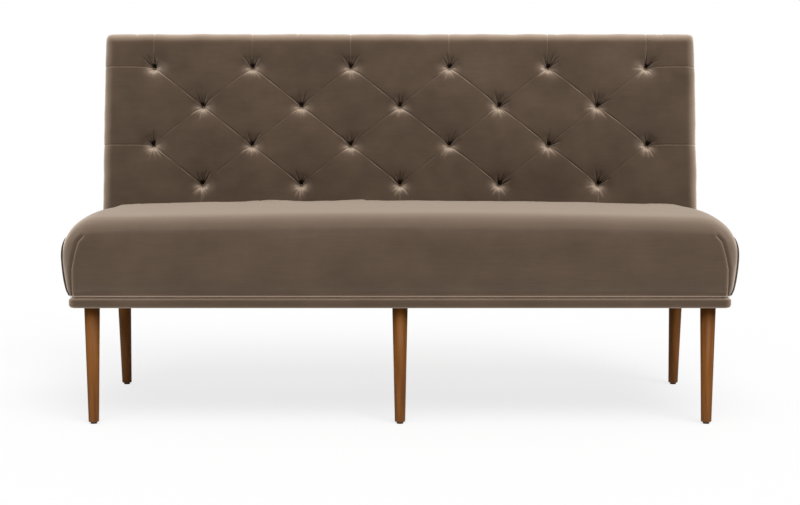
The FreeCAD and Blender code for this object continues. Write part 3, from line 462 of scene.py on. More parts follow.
def painted_light_of_sheet(x, w):
    """Painted light at each point, from -1 for painted shade to 1 for a painted highlight."""
    light, dark = np.zeros_like(x), np.zeros_like(x)
    for place in tuft_places:
        across, up = about_tuft(x, w, place)
        away, turn = np.hypot(across, up), np.arctan2(up, across)
        # Painted highlight: pale rays below the tuft, on the pit's lip
        rays = (0.5 + 0.5 * np.cos(LIP_RAYS * turn + RAY_OFFSET * place[0])) ** 1.5
        below = fade(-np.sin(turn), -0.25, 0.05)
        lip = fade(away, LIP_FROM - 0.0015, LIP_FROM + 0.0015) * (1 - fade(away, 0.45 * LIP_TO, LIP_TO))
        light = np.maximum(light, lip * below * (0.40 + 0.60 * rays))
        # Painted shade: a dark wedge above it, wider towards its top
        half_width = CORE_FOOT + CORE_SPREAD * np.clip(up, 0, CORE_HEIGHT)
        core = 1 - fade(np.abs(across), 0.7 * half_width, 1.3 * half_width)
        core = core * fade(up, -0.004, -0.001) * (1 - fade(up, 0.5 * CORE_HEIGHT, 1.1 * CORE_HEIGHT))
        dark = np.maximum(dark, core)
    # Painted shade along the upper creases, a painted highlight along the lower ones
    for start, tip, _, upper in creases:
        beside, share, _ = along_line(x, w, start, tip)
        line = fade(share, 0.05, 0.15) * (1 - fade(share, 0.40, 1.0)) * groove(beside, CREASE_LINE)
        if upper:
            dark = np.maximum(dark, 0.9 * line)
        else:
            light = np.maximum(light, 0.8 * line)
    # Painted shade just above each fold, a painted highlight just below it
    for fold in folds:
        above, strength = fold_reach(x, w, fold)
        dark = np.maximum(dark, 0.75 * strength * groove(above - 0.0012, FOLD_LINE))
        light = np.maximum(light, 0.50 * strength * groove(above + 0.0010, FOLD_LINE))
    # A painted highlight along the small creases at the top edge
    for start, end in EDGE_CREASES:
        beside, share, _ = along_line(x, w, start, end)
        light = np.maximum(light, 0.5 * fade(share, 0.0, 0.4) * groove(beside, 0.0016))
    # Painted highlight along the rolled top and side rims, weaker on the sides towards the top
    light = np.maximum(light, RIM_HIGHLIGHT_TOP * rim_band(w, BACK_LENGTH))
    low = 1 - 0.7 * fade(w, 0.40, 0.55)
    light = np.maximum(light, RIM_HIGHLIGHT_LEFT * low * rim_band(-x, BACK_HALF))
    light = np.maximum(light, RIM_HIGHLIGHT_RIGHT * low * rim_band(x, BACK_HALF))
    # Painted light: paler towards the top of the back and darker towards its foot
    hang = PAINTED_FALLOFF * np.clip((w - 0.33) / 0.27, -1, 1)
    return np.clip(light * (1 - dark) - dark + hang, -1, 1)


# %% Wrap the sheet round the foam
def wrap_round_foam(x, w, depth):
    """Flat sheet to the back's block: round the front rim, then along the sides and the top."""
    inner_x = BACK_HALF - EDGE_ROLL
    inner_w = BACK_LENGTH - EDGE_ROLL
    over_x = np.sign(x) * np.maximum(np.abs(x) - inner_x, 0)
    over_w = np.maximum(w - inner_w, 0)
    over = (np.abs(over_x) ** CORNER_POWER + over_w**CORNER_POWER) ** (1 / CORNER_POWER)
    safe = np.maximum(over, 1e-9)
    way_x, way_w = over_x / safe, over_w / safe
    turn = np.minimum(over / EDGE_ROLL, np.pi / 2)
    sideways = EDGE_ROLL * np.sin(turn)
    deep = EDGE_ROLL * (1 - np.cos(turn)) + np.maximum(over - EDGE_ROLL * np.pi / 2, 0)
    out_side, out_front = np.sin(turn), np.cos(turn)
    shown_x = np.clip(x, -inner_x, inner_x) + way_x * (sideways - depth * out_side)
    shown_w = np.minimum(w, inner_w) + way_w * (sideways - depth * out_side)
    return np.column_stack((shown_x, deep + depth * out_front, shown_w))


back_velvet = make_piece("back_velvet", sheet)
flat = read_points(back_velvet.data)
drawn_in = depth_of_sheet(flat[:, 0], flat[:, 1])
block = wrap_round_foam(flat[:, 0], flat[:, 1], drawn_in)
write_points(back_velvet.data, lean(block))
painted_light = back_velvet.data.attributes.new("painted_light", "FLOAT", "POINT")
painted_light.data.foreach_set("value", painted_light_of_sheet(flat[:, 0], flat[:, 1]))
print("deepest tuft", round(float(drawn_in.max()), 4))

# %% Trim the sheet where it meets the outside back and the base
trimmed = bmesh.new()
trimmed.from_mesh(back_velvet.data)
REAR_TRIM = 0.0012
rear_place = lean(np.array([[0.0, BACK_THICKNESS - REAR_TRIM, 0.3]]))[0]
rear_way = (0.0, COS_RAKE, -SIN_RAKE)
cut_shape(trimmed, rear_place, rear_way)
cut_shape(trimmed, (0, 0, BAND_TOP + REST_GAP), (0, 0, -1))
bmesh.ops.recalc_face_normals(trimmed, faces=trimmed.faces[:])
trimmed.to_mesh(back_velvet.data)
trimmed.free()
for face in back_velvet.data.polygons:
    face.use_smooth = True

seat_on_frame(back_velvet, "velvet", "back_cover", "back_wadding", "back_foam")

# %% [markdown]
# ## The outside back
# A flat panel of the same velvet closes the rear of the back. It is slip-stitched along its
# edges, so it is a thin sheet with soft round corners that is drawn in a little at the edge.

# %% Outside back
OUTSIDE_THICKNESS = 0.0022
PANEL_MARGIN = 0.001
PANEL_ROUND = 0.015
PANEL_FOOT = -0.02
PANEL_RIM = 0.0015

outside_top = BACK_LENGTH - PANEL_MARGIN
outside_front = BACK_THICKNESS - OUTSIDE_THICKNESS
outside_half = BACK_HALF - PANEL_MARGIN
outside = box_shape(outside_half, outside_front, BACK_THICKNESS, PANEL_FOOT, outside_top)
upper = [
    edge
    for edge in outside.edges
    if abs(edge.verts[0].co.y - edge.verts[1].co.y) > 1e-4
    and min(vert.co.z for vert in edge.verts) > outside_top - 1e-4
]
round_edges(outside, upper, PANEL_ROUND, 10)
rims = [
    edge
    for edge in outside.edges
    if min(vert.co.y for vert in edge.verts) > BACK_THICKNESS - 1e-4 and edge.calc_length() > 1e-4
]
round_edges(outside, rims, PANEL_RIM, 4)
outside_back = make_piece("outside_back_velvet", outside)
write_points(outside_back.data, lean(read_points(outside_back.data)))
cut_outside = bmesh.new()
cut_outside.from_mesh(outside_back.data)
cut_shape(cut_outside, (0, 0, BAND_TOP + REST_GAP), (0, 0, -1), close=True)
cut_outside.to_mesh(outside_back.data)
cut_outside.free()
seat_on_frame(outside_back, "velvet", "outside_back_cover")

# %% [markdown]
# ## The seat cushion
# The seat is one long cushion: a low crown on top, a big roll at the front, round shoulders
# at the ends and sides that draw in towards the base. Its form is a loft: loops of points,
# one for each slice from front to back, joined by bridges. A voxel remesh then gives it an
# even skin, which the cloth simulation can swell.

# %% Cross-sections of the cushion
SEAT_FRONT = -0.3195
SEAT_CROWN = 0.4905
SEAT_BOTTOM = 0.2948
SEAT_END_HALF = 0.767
SEAT_END_BULGE = 0.019
SEAT_CROWN_SAG = 0.0100
SEAT_REAR_FALL = 0.0085
SEAT_ROLL = 0.068
SEAT_CORNER = 0.030
SEAT_SHOULDER = 0.085
SEAT_SIDE = 0.370
SEAT_DRAW = 0.055
SEAT_OVERHANG = 0.014
FRONT_SAG_SHARE = 0.25
ROLL_SLICES = 10
SPAN_SLICES = 12
POINTS_ROUND = 160
TOP_POINTS, SHOULDER_POINTS, SIDE_POINTS = 40, 24, 16


def circle_drop(radius, run):
    """How far a circle has fallen away at a distance along its tangent."""
    return radius - math.sqrt(max(radius**2 - run**2, 0))


def arc(centre, radius, start, end, count):
    """Points of an arc about a centre, from one angle to another."""
    turns = np.linspace(start, end, count)
    return [(centre[0] + radius * math.cos(turn), centre[1] + radius * math.sin(turn)) for turn in turns]


def seat_outline(half, bottom, crown, shoulder, sag):
    """Right half of a slice, from the middle of the top to the middle of the bottom."""
    centre_z = crown - sag - shoulder
    centre_x = half - shoulder
    rise = crown - centre_z
    top = (centre_x**2 + rise**2 - shoulder**2) / (2 * (rise - shoulder))
    start = math.atan2(top - rise, centre_x)
    lean_angle = math.atan2(centre_x, top - rise)
    turned = math.pi / 2 - lean_angle
    points = arc((0.0, crown - top), top, math.pi / 2, turned, TOP_POINTS)
    points += arc((centre_x, centre_z), shoulder, turned, 0.0, SHOULDER_POINTS)[1:]
    foot_turn = -math.asin((centre_z - bottom) / SEAT_SIDE)
    points += arc((half - SEAT_SIDE, centre_z), SEAT_SIDE, 0.0, foot_turn, SIDE_POINTS)[1:]
    points.append((0.0, bottom))
    return points


def whole_outline(half_points):
    """Both halves of a slice as one closed run of points, evenly spaced."""
    left = [(-x, z) for x, z in reversed(half_points[1:-1])]
    closed = np.array(half_points + left + half_points[:1])
    lengths = np.concatenate(([0.0], np.cumsum(np.hypot(*np.diff(closed, axis=0).T))))
    even = np.linspace(0.0, lengths[-1], POINTS_ROUND + 1)[:-1]
    return np.column_stack([np.interp(even, lengths, closed[:, axis]) for axis in (0, 1)])


# %% The loft
seat_rear = BACK_FOOT_Y + BACK_THICKNESS
seat_middle = (SEAT_FRONT + BACK_FOOT_Y) / 2
seat_half_run = seat_middle - SEAT_FRONT
front_arc = (SEAT_OVERHANG**2 + SEAT_DRAW**2) / (2 * SEAT_OVERHANG)
slices = []
for step in range(ROLL_SLICES + 1):
    turn = math.pi / 2 * step / ROLL_SLICES
    slices.append((SEAT_FRONT + SEAT_ROLL * (1 - math.cos(turn)), math.sin(turn)))
roll_end = slices[-1][0]
for step in range(1, SPAN_SLICES + 1):
    slices.append((roll_end + (seat_rear - roll_end) * step / SPAN_SLICES, 1.0))


def seat_slice(y, rise):
    """The outline of the cushion at one depth. Rise is how far the front roll has come up."""
    from_front = y - SEAT_FRONT
    bulge = SEAT_END_BULGE * (1 - ((y - seat_middle) / seat_half_run) ** 2)
    corner_cut = circle_drop(SEAT_CORNER, max(SEAT_CORNER - from_front, 0))
    half = SEAT_END_HALF + bulge - corner_cut
    rear_fall = SEAT_REAR_FALL * max((y - seat_middle) / seat_half_run, 0) ** 2
    top = SEAT_CROWN - SEAT_ROLL * (1 - rise) - rear_fall
    run = min(from_front, SEAT_OVERHANG)
    fallen = math.sqrt(front_arc**2 - (front_arc - run) ** 2)
    foot = SEAT_BOTTOM + max(SEAT_DRAW - fallen, 0)
    shoulder = SEAT_CORNER + (SEAT_SHOULDER - SEAT_CORNER) * rise
    sag = SEAT_CROWN_SAG * (FRONT_SAG_SHARE + (1 - FRONT_SAG_SHARE) * rise)
    return whole_outline(seat_outline(half, foot, top, shoulder, sag))


loft = bmesh.new()
loops = []
for y, rise in slices:
    ring = bmesh.ops.create_circle(loft, segments=POINTS_ROUND, radius=1.0)["verts"]
    for vert, (x, z) in zip(ring, seat_slice(y, rise)):
        vert.co = (x, y, z)
    loops.append(ring)
ring_edges = list(loft.edges)
for near, far in zip(loops, loops[1:]):
    pair = set(near) | set(far)
    edges = [edge for edge in ring_edges if edge.verts[0] in pair and edge.verts[1] in pair]
    bmesh.ops.bridge_loops(loft, edges=edges)
for ring in (loops[0], loops[-1]):
    bmesh.ops.contextual_create(loft, geom=ring)
bmesh.ops.recalc_face_normals(loft, faces=loft.faces[:])
seat_form = make_piece("seat_form", loft)
print("cushion loft", len(seat_form.data.polygons), "faces")

# %% An even skin
SKIN = 0.008
SMOOTHINGS = 6
BACK_GAP = 0.0005
remesh = seat_form.modifiers.new("skin", "REMESH")
remesh.mode = "VOXEL"
remesh.voxel_size = SKIN
depsgraph = bpy.context.evaluated_depsgraph_get()
seat_mesh = bpy.data.meshes.new_from_object(seat_form.evaluated_get(depsgraph))
bpy.data.objects.remove(seat_form)
seat_velvet = bpy.data.objects.new("seat_velvet", seat_mesh)
bpy.context.scene.collection.objects.link(seat_velvet)
skin = bmesh.new()
skin.from_mesh(seat_mesh)
behind = lean(np.array([[0.0, -BACK_GAP, 0.2]]))[0]
cut_shape(skin, behind, (0, COS_RAKE, -SIN_RAKE), close=True)
for _ in range(SMOOTHINGS):
    smooth_points(skin, skin.verts[:])
bmesh.ops.recalc_face_normals(skin, faces=skin.faces[:])
skin.to_mesh(seat_mesh)
skin.free()
print("cushion skin", len(seat_mesh.polygons), "faces")

# %% [markdown]
# The velvet is pulled down over the foam and stapled under it, and the foam pushes back. The
# cloth simulation does the same: a little pressure inside, no gravity, and the lower edge
# held. How far a point may move is capped, so the cushion keeps its measured size.

# %% Swell the cushion
PRESSURE = 4.0
FRAMES = 20
SWELL_CAP = 0.005
HELD_BELOW = 0.303


def swell(piece, pressure, cap, held_below):
    """Where the points of a piece lie once pressure has swelled it, each move capped."""
    before = read_points(piece.data)
    held = piece.vertex_groups.new(name="held")
    low = [number for number, point in enumerate(before) if point[2] < held_below]
    held.add(low, 1.0, "REPLACE")
    cloth = piece.modifiers.new("cloth", "CLOTH")
    cloth.settings.quality = 4
    cloth.settings.mass = 0.4
    cloth.settings.tension_stiffness = 25
    cloth.settings.compression_stiffness = 25
    cloth.settings.bending_stiffness = 2
    cloth.settings.vertex_group_mass = "held"
    cloth.settings.use_pressure = True
    cloth.settings.uniform_pressure_force = pressure
    cloth.settings.effector_weights.gravity = 0
    cloth.collision_settings.use_collision = False
    scene = bpy.context.scene
    for step in range(1, FRAMES + 1):
        scene.frame_set(step)
    moved = bpy.data.meshes.new_from_object(piece.evaluated_get(bpy.context.evaluated_depsgraph_get()))
    move = read_points(moved) - before
    bpy.data.meshes.remove(moved)
    piece.modifiers.clear()
    piece.vertex_groups.clear()
    scene.frame_set(1)
    length = np.maximum(np.linalg.norm(move, axis=1, keepdims=True), 1e-9)
    print("swell: largest move", round(float(length.max()), 4), "m")
    return before + move / length * cap * np.tanh(length / cap)


write_points(seat_mesh, swell(seat_velvet, PRESSURE, SWELL_CAP, HELD_BELOW))

# %% [markdown]
# ## The seams at the ends of the seat
# At each front corner a dart takes in the spare cloth. It starts with a small hook and runs
# down to the base, a thin sewn groove. Voxels are too coarse for it, so the mesh is divided
# there first. The hem just above the base is cut clean and straight, with a painted highlight
# along it that shows as a pale line. Behind the dart the end of the seat is closed with a
# panel of its own, which puffs out between its seams; its darker velvet is painted shade.

# %% Dart seams
DART_X = (0.7175, 0.7230, 0.7285, 0.7370, 0.7440, 0.7455)
DART_Z = (0.437, 0.431, 0.424, 0.395, 0.362, 0.290)
DART = list(zip(DART_X, DART_Z))
DART_DEPTH = 0.0034
DART_WIDTH = 0.0017
DART_PUFF = 0.0009
PUFF_FROM, PUFF_WIDTH = 0.008, 0.005
# The hem's edges, its fade, and the strength of its painted highlight
HEM_LOW, HEM_TOP, HEM_FADE, HEM_HIGHLIGHT = 0.2974, 0.3006, 0.0015, 0.65
CORNER_FROM = 0.695
CORNER_BACK_TO = -0.235


def near_corner(point):
    return abs(point.x) > CORNER_FROM and point.y < CORNER_BACK_TO


corner = bmesh.new()
corner.from_mesh(seat_mesh)
for _ in range(2):
    fine = [
        edge for edge in corner.edges if near_corner(edge.verts[0].co) and near_corner(edge.verts[1].co)
    ]
    bmesh.ops.subdivide_edges(corner, edges=fine, cuts=1, use_grid_fill=True)
    grown = [vert for vert in corner.verts if near_corner(vert.co)]
    smooth_points(corner, grown)
corner.normal_update()
for vert in corner.verts:
    if not near_corner(vert.co) or vert.normal.y > -0.15:
        continue
    x, z = np.array([abs(vert.co.x)]), np.array([vert.co.z])
    gap = 1.0
    for start, end in zip(DART, DART[1:]):
        beside, share, run = along_line(x, z, start, end)
        # How far the point lies past either end of this stretch
        past = max(-share[0], share[0] - 1, 0) * run
        gap = min(gap, math.hypot(beside[0], past))
    sewn = DART_DEPTH * math.exp(-((gap / DART_WIDTH) ** 2))
    puff = DART_PUFF * math.exp(-(((gap - PUFF_FROM) / PUFF_WIDTH) ** 2))
    vert.co += vert.normal * (puff - sewn)
for height in (HEM_TOP + HEM_FADE, HEM_TOP):
    cut_shape(corner, (0, 0, height), (0, 0, 1), clear=False)
cut_shape(corner, (0, 0, HEM_LOW), (0, 0, -1), close=True)
# Painted highlight: a pale value on the strip of the hem
painted_light = corner.verts.layers.float.new("painted_light")
for vert in corner.verts:
    if vert.co.z < HEM_TOP + 1e-5:
        vert[painted_light] = HEM_HIGHLIGHT
corner.to_mesh(seat_mesh)
corner.free()
for face in seat_mesh.polygons:
    face.use_smooth = True
seat_on_frame(seat_velvet, "velvet", "seat_cover", "seat_wadding", "seat_foam", "seat_insulator_pad")

# %% End panels
PANEL_FRONT = -0.296
PANEL_TOP = 0.432
PANEL_BOTTOM = 0.2976
PANEL_CORNER = 0.045
PANEL_BULGE = 0.0062
PANEL_SEAM = 0.0025
PANEL_SEAM_RUN = 0.020
END_FROM = 0.70
FACING_OUT = 0.25
corner_y, corner_z = PANEL_FRONT + PANEL_CORNER, PANEL_TOP - PANEL_CORNER
panel_edges = [((0, 0, PANEL_BOTTOM), (0, 0, -1))]
for turn in np.radians(range(0, 91, 10)):
    outward = (0, -math.cos(turn), math.sin(turn))
    place = (0, corner_y + PANEL_CORNER * outward[1], corner_z + PANEL_CORNER * outward[2])
    panel_edges.append((place, outward))


def end_panel(name, side):
    """The part of the cushion's skin inside the panel's seams, puffed out from it."""
    panel = bmesh.new()
    panel.from_mesh(seat_mesh)
    for place, outward in panel_edges + [((side * END_FROM, 0, 0), (-side, 0, 0))]:
        cut_shape(panel, place, outward)
    inward = [face for face in panel.faces if face.normal.x * side < FACING_OUT]
    bmesh.ops.delete(panel, geom=inward, context="FACES")
    bmesh.ops.subdivide_edges(panel, edges=panel.edges[:], cuts=1, use_grid_fill=True)
    panel.normal_update()
    for vert in panel.verts:
        inside = min((Vector(place) - vert.co).dot(Vector(outward)) for place, outward in panel_edges)
        share = min(max(inside / PANEL_SEAM_RUN, 0.0), 1.0)
        puff = PANEL_BULGE * math.sqrt(1 - (1 - share) ** 2)
        vert.co += vert.normal * (puff - PANEL_SEAM)
    piece = make_piece(name, panel)
    seat_on_frame(piece, "velvet", "seat_end_panel_" + ("right" if side > 0 else "left"))
    return piece


end_panels = [end_panel("seat_end_left", -1), end_panel("seat_end_right", 1)]

# %% [markdown]
# ## The base band
# A strip of velvet over a thin pad goes round the edge of the base. On the real bench it is
# stapled under the seat and under the base, so it is a ring with rolled edges. A painted
# highlight runs along its upper edge.

# %% Base band
BAND_CORNER = 0.018
BAND_ROLL = 0.008
BAND_TUCK = 0.015
# Depth of the painted highlight along the band's upper edge, and its strength
BAND_LINE, BAND_HIGHLIGHT = 0.0030, 0.5

band = box_shape(BASE_HALF, BASE_FRONT, BASE_REAR, BAND_BOTTOM, BAND_TOP)
upright_edges = [
    edge for edge in band.edges if abs(edge.verts[0].co.z - edge.verts[1].co.z) > 0.01
]
round_edges(band, upright_edges, BAND_CORNER, 8)
rim_edges = [edge for edge in band.edges if abs(edge.verts[0].co.z - edge.verts[1].co.z) < 1e-5]
round_edges(band, rim_edges, BAND_ROLL, 6)
flat_faces = [face for face in band.faces if abs(face.normal.z) > 0.999 and face.calc_area() > 0.1]
bmesh.ops.inset_region(band, faces=flat_faces, thickness=BAND_TUCK - BAND_ROLL, depth=0.0)
openings = [face for face in flat_faces if face.is_valid]
opening_edges = list({edge for face in openings for edge in face.edges})
bmesh.ops.delete(band, geom=openings, context="FACES_ONLY")
bmesh.ops.bridge_loops(band, edges=opening_edges)
bmesh.ops.recalc_face_normals(band, faces=band.faces[:])
# Painted highlight along the band's upper edge
painted_light = band.verts.layers.float.new("painted_light")
for vert in band.verts:
    if vert.co.z > BAND_TOP - BAND_LINE:
        vert[painted_light] = BAND_HIGHLIGHT
base_band = make_piece("base_band_velvet", band)
seat_on_frame(base_band, "velvet", "base_band_cover", "base_band_padding")

# %% [markdown]
# ## The dust cover
# A thin black cloth closes the base from below. It is stapled to the rails all round and
# hangs down a little between them, as such cloths do.

# %% Dust cover
CLOTH_SAG = 0.0025
CLOTH_THICKNESS = 0.0006
CLOTH_RIPPLE, RIPPLES = 0.0004, 60
cloth_low, cloth_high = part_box("dust_cover")
cloth_size = (cloth_high[0] - cloth_low[0], cloth_high[1] - cloth_low[1])
under = bmesh.new()
bmesh.ops.create_grid(under, x_segments=120, y_segments=36, size=0.5)
for vert in under.verts:
    hang = math.cos(math.pi * vert.co.x) * math.cos(math.pi * vert.co.y)
    ripple = CLOTH_RIPPLE * math.sin(RIPPLES * vert.co.x) * hang
    vert.co.z = cloth_high[2] - CLOTH_SAG * hang + ripple
    vert.co.x *= cloth_size[0]
    vert.co.y = (cloth_low[1] + cloth_high[1]) / 2 + vert.co.y * cloth_size[1]
bmesh.ops.solidify(under, geom=under.faces[:], thickness=CLOTH_THICKNESS)
bmesh.ops.recalc_face_normals(under, faces=under.faces[:])
dust_cloth = make_piece("dust_cloth", under)
seat_on_frame(dust_cloth, "black_cloth", "dust_cover")
print("dust cover", [round(side, 3) for side in cloth_size], "at", round(cloth_high[2], 4))

# %% [markdown]
# ## Legs
# The legs are turned: round, tapering to the foot, with a small chamfer where the wood ends.
# The rear ones lean back. Each is a cone that is cut level at both ends.

# %% Legs
LEG_TOP = 0.273
LEG_BOTTOM = 0.004
LEG_TOP_RADIUS = 0.01775
LEG_FOOT_RADIUS = 0.012
LEG_CHAMFER = 0.0022
LEG_SPARE = 0.02
LEG_GAP = 0.0002


def turned_leg(spot, top, foot):
    """A tapered round between two points, longer than the leg and then cut level."""
    axis = Vector(top) - Vector(foot)
    way, run = axis.normalized(), axis.length
    slope = (LEG_TOP_RADIUS - LEG_FOOT_RADIUS) / run
    leg = bmesh.new()
    bmesh.ops.create_cone(
        leg,
        cap_ends=True,
        segments=64,
        radius1=LEG_FOOT_RADIUS - slope * LEG_SPARE,
        radius2=LEG_TOP_RADIUS + slope * LEG_SPARE,
        depth=run + 2 * LEG_SPARE,
    )
    middle = (Vector(top) + Vector(foot)) / 2
    turn = Vector((0, 0, 1)).rotation_difference(way).to_matrix().to_4x4()
    bmesh.ops.transform(leg, matrix=Matrix.Translation(middle) @ turn, verts=leg.verts[:])
    cut_shape(leg, (0, 0, LEG_TOP - LEG_GAP), (0, 0, 1), close=True)
    cut_shape(leg, (0, 0, LEG_BOTTOM), (0, 0, -1), close=True)
    foot_edges = [
        edge for edge in leg.edges if max(vert.co.z for vert in edge.verts) < LEG_BOTTOM + 1e-5
    ]
    round_edges(leg, foot_edges, LEG_CHAMFER, 3)
    bmesh.ops.recalc_face_normals(leg, faces=leg.faces[:])
    piece = make_piece("leg_wood_" + spot, leg)
    seat_on_frame(piece, "leg_wood", "leg_" + spot)
    return piece


LEG_HALF_SPREAD = 0.705
FRONT_LEG_Y = -0.2695
REAR_LEG_Y = 0.1845
REAR_FOOT_Y = 0.2104
legs = []
for side, x in (("left", -LEG_HALF_SPREAD), ("centre", 0.0), ("right", LEG_HALF_SPREAD)):
    front_top, front_foot = (x, FRONT_LEG_Y, LEG_TOP), (x, FRONT_LEG_Y, LEG_BOTTOM)
    rear_top, rear_foot = (x, REAR_LEG_Y, LEG_TOP), (x, REAR_FOOT_Y, LEG_BOTTOM)
    legs.append(turned_leg("front_" + side, front_top, front_foot))
    legs.append(turned_leg("rear_" + side, rear_top, rear_foot))

# %% [markdown]
# ## Velvet
# Velvet is a short dense pile. Seen along its surface it is pale, because light catches the
# ends of the hairs; seen straight on it is dark, because the eye looks between the hairs. A
# ramp on the Layer Weight node paints that sheen into the base colour, and the sheen layer of
# the Principled shader adds a soft glow. A little noise stands for pile that was brushed one
# way here and another there. The painted light of each point then makes all of it darker
# where shade is painted and paler where a highlight is painted. The faces deep in a tuft get a
# darker velvet without sheen, as painted shade, since sheen would glow where no light comes.


# %% Material helpers
def new_material(name):
    material = bpy.data.materials.new(name)
    material.use_nodes = True
    return material, material.node_tree.nodes, material.node_tree.links


def paint(piece, material):
    piece.data.materials.clear()
    piece.data.materials.append(material)


def stretched_noise(nodes, links, scale, stretch, detail, rough):
    """Noise on Object coordinates, stretched by a Mapping node."""
    place = nodes.new("ShaderNodeTexCoord")
    mapping = nodes.new("ShaderNodeMapping")
    mapping.inputs["Scale"].default_value = stretch
    noise = nodes.new("ShaderNodeTexNoise")
    noise.inputs["Scale"].default_value = scale
    noise.inputs["Detail"].default_value = detail
    noise.inputs["Roughness"].default_value = rough
    links.new(place.outputs["Object"], mapping.inputs["Vector"])
    links.new(mapping.outputs["Vector"], noise.inputs["Vector"])
    return noise


def ramp(nodes, links, source, low, high, dark, light):
    """A colour ramp between two colours over a range of its input."""
    node = nodes.new("ShaderNodeValToRGB")
    node.color_ramp.elements[0].position = low
    node.color_ramp.elements[0].color = (*dark, 1)
    node.color_ramp.elements[1].position = high
    node.color_ramp.elements[1].color = (*light, 1)
    links.new(source, node.inputs["Fac"])
    return node


def multiply_colours(nodes, links, first, second):
    node = nodes.new("ShaderNodeMix")
    node.data_type = "RGBA"
    node.blend_type = "MULTIPLY"
    node.inputs["Factor"].default_value = 1.0
    links.new(first, node.inputs["A"])
    links.new(second, node.inputs["B"])
    return node.outputs["Result"]


def add_bump(nodes, links, shader, noise, strength, distance):
    bump = nodes.new("ShaderNodeBump")
    bump.inputs["Strength"].default_value = strength
    bump.inputs["Distance"].default_value = distance
    links.new(noise.outputs["Fac"], bump.inputs["Height"])
    links.new(bump.outputs["Normal"], shader.inputs["Normal"])


# %% Velvet
# Colour gains for painted shade and for a painted highlight
PAINTED_SHADE_GAIN = (0.17, 0.145, 0.125)
PAINTED_HIGHLIGHT_GAIN = (2.2, 2.25, 2.3)
# Faces whose painted light lies below this take the darker velvet of painted shade
PAINTED_SHADE_FROM = -0.55
# Painted sheen ramp: where it starts, its middle, where it ends, and its share at the middle
PAINTED_SHEEN_FROM, PAINTED_SHEEN_MIDDLE, PAINTED_SHEEN_TO = 0.12, 0.60, 0.97
PAINTED_SHEEN_HALF_WAY = 0.52
PILE_ROUGHNESS = 0.85
PILE_SPECULAR = 0.15
SHEEN_ROUGHNESS = 0.38
SHEEN_TINT = (1.0, 0.87, 0.74, 1)


def painted_sheen_share(nodes, links):
    """How much of the painted sheen colour shows: none seen straight on, all of it seen along the cloth.
    """
    turned = nodes.new("ShaderNodeLayerWeight")
    turned.inputs["Blend"].default_value = 0.5
    sheen_ramp = ramp(nodes, links, turned.outputs["Facing"], PAINTED_SHEEN_FROM, PAINTED_SHEEN_TO, (0,) * 3, (1,) * 3)
    sheen_ramp.color_ramp.interpolation = "B_SPLINE"
    sheen_ramp.color_ramp.elements.new(PAINTED_SHEEN_MIDDLE).color = (*(PAINTED_SHEEN_HALF_WAY,) * 3, 1)
    return sheen_ramp.outputs["Color"]


def painted_light_gain(nodes, links):
    """The painted light as a colour to multiply with: darker for painted shade, paler for a painted
    highlight, white where it is 0.
    """
    painted_light = nodes.new("ShaderNodeAttribute")
    painted_light.attribute_name = "painted_light"
    light_share = nodes.new("ShaderNodeMapRange")
    light_share.inputs["From Min"].default_value = -1.0
    links.new(painted_light.outputs["Fac"], light_share.inputs["Value"])
    gain = ramp(nodes, links, light_share.outputs["Result"], 0.0, 1.0, PAINTED_SHADE_GAIN, PAINTED_HIGHLIGHT_GAIN)
    gain.color_ramp.elements.new(0.5).color = (1, 1, 1, 1)
    return gain.outputs["Color"]


def velvet(name, dark, light, painted_sheen_colour, sheen):
    """Velvet between two tones, with a painted sheen colour seen along the pile and painted light and
    shade from each point's value.
    """
    material, nodes, links = new_material(name)
    shader = nodes["Principled BSDF"]
    brushed = stretched_noise(nodes, links, 7.0, (1.0, 1.0, 1.25), detail=6.0, rough=0.62)
    tone = ramp(nodes, links, brushed.outputs["Fac"], 0.30, 0.72, dark, light)
    streaks = stretched_noise(nodes, links, 60.0, (0.30, 0.30, 5.0), detail=4.0, rough=0.7)
    lines = ramp(nodes, links, streaks.outputs["Fac"], 0.30, 0.70, (0.93,) * 3, (1.06,) * 3)
    pile = multiply_colours(nodes, links, tone.outputs["Color"], lines.outputs["Color"])
    # Painted sheen: the colour turns to the painted sheen colour as the cloth is seen more along its
    # surface
    shown = nodes.new("ShaderNodeMix")
    shown.data_type = "RGBA"
    shown.inputs["B"].default_value = (*painted_sheen_colour, 1)
    links.new(painted_sheen_share(nodes, links), shown.inputs["Factor"])
    links.new(pile, shown.inputs["A"])
    # Painted light and shade: each point's value makes the colour darker where shade is painted and
    # paler where a highlight is painted
    lit = multiply_colours(nodes, links, shown.outputs["Result"], painted_light_gain(nodes, links))
    links.new(lit, shader.inputs["Base Color"])
    shader.inputs["Roughness"].default_value = PILE_ROUGHNESS
    shader.inputs["Specular IOR Level"].default_value = PILE_SPECULAR
    shader.inputs["Sheen Weight"].default_value = sheen
    shader.inputs["Sheen Roughness"].default_value = SHEEN_ROUGHNESS
    shader.inputs["Sheen Tint"].default_value = SHEEN_TINT
    fuzz = stretched_noise(nodes, links, 170.0, (1.0, 1.0, 4.0), detail=3.0, rough=0.65)
    add_bump(nodes, links, shader, fuzz, strength=0.30, distance=0.0007)
    print("material", name)
    return material


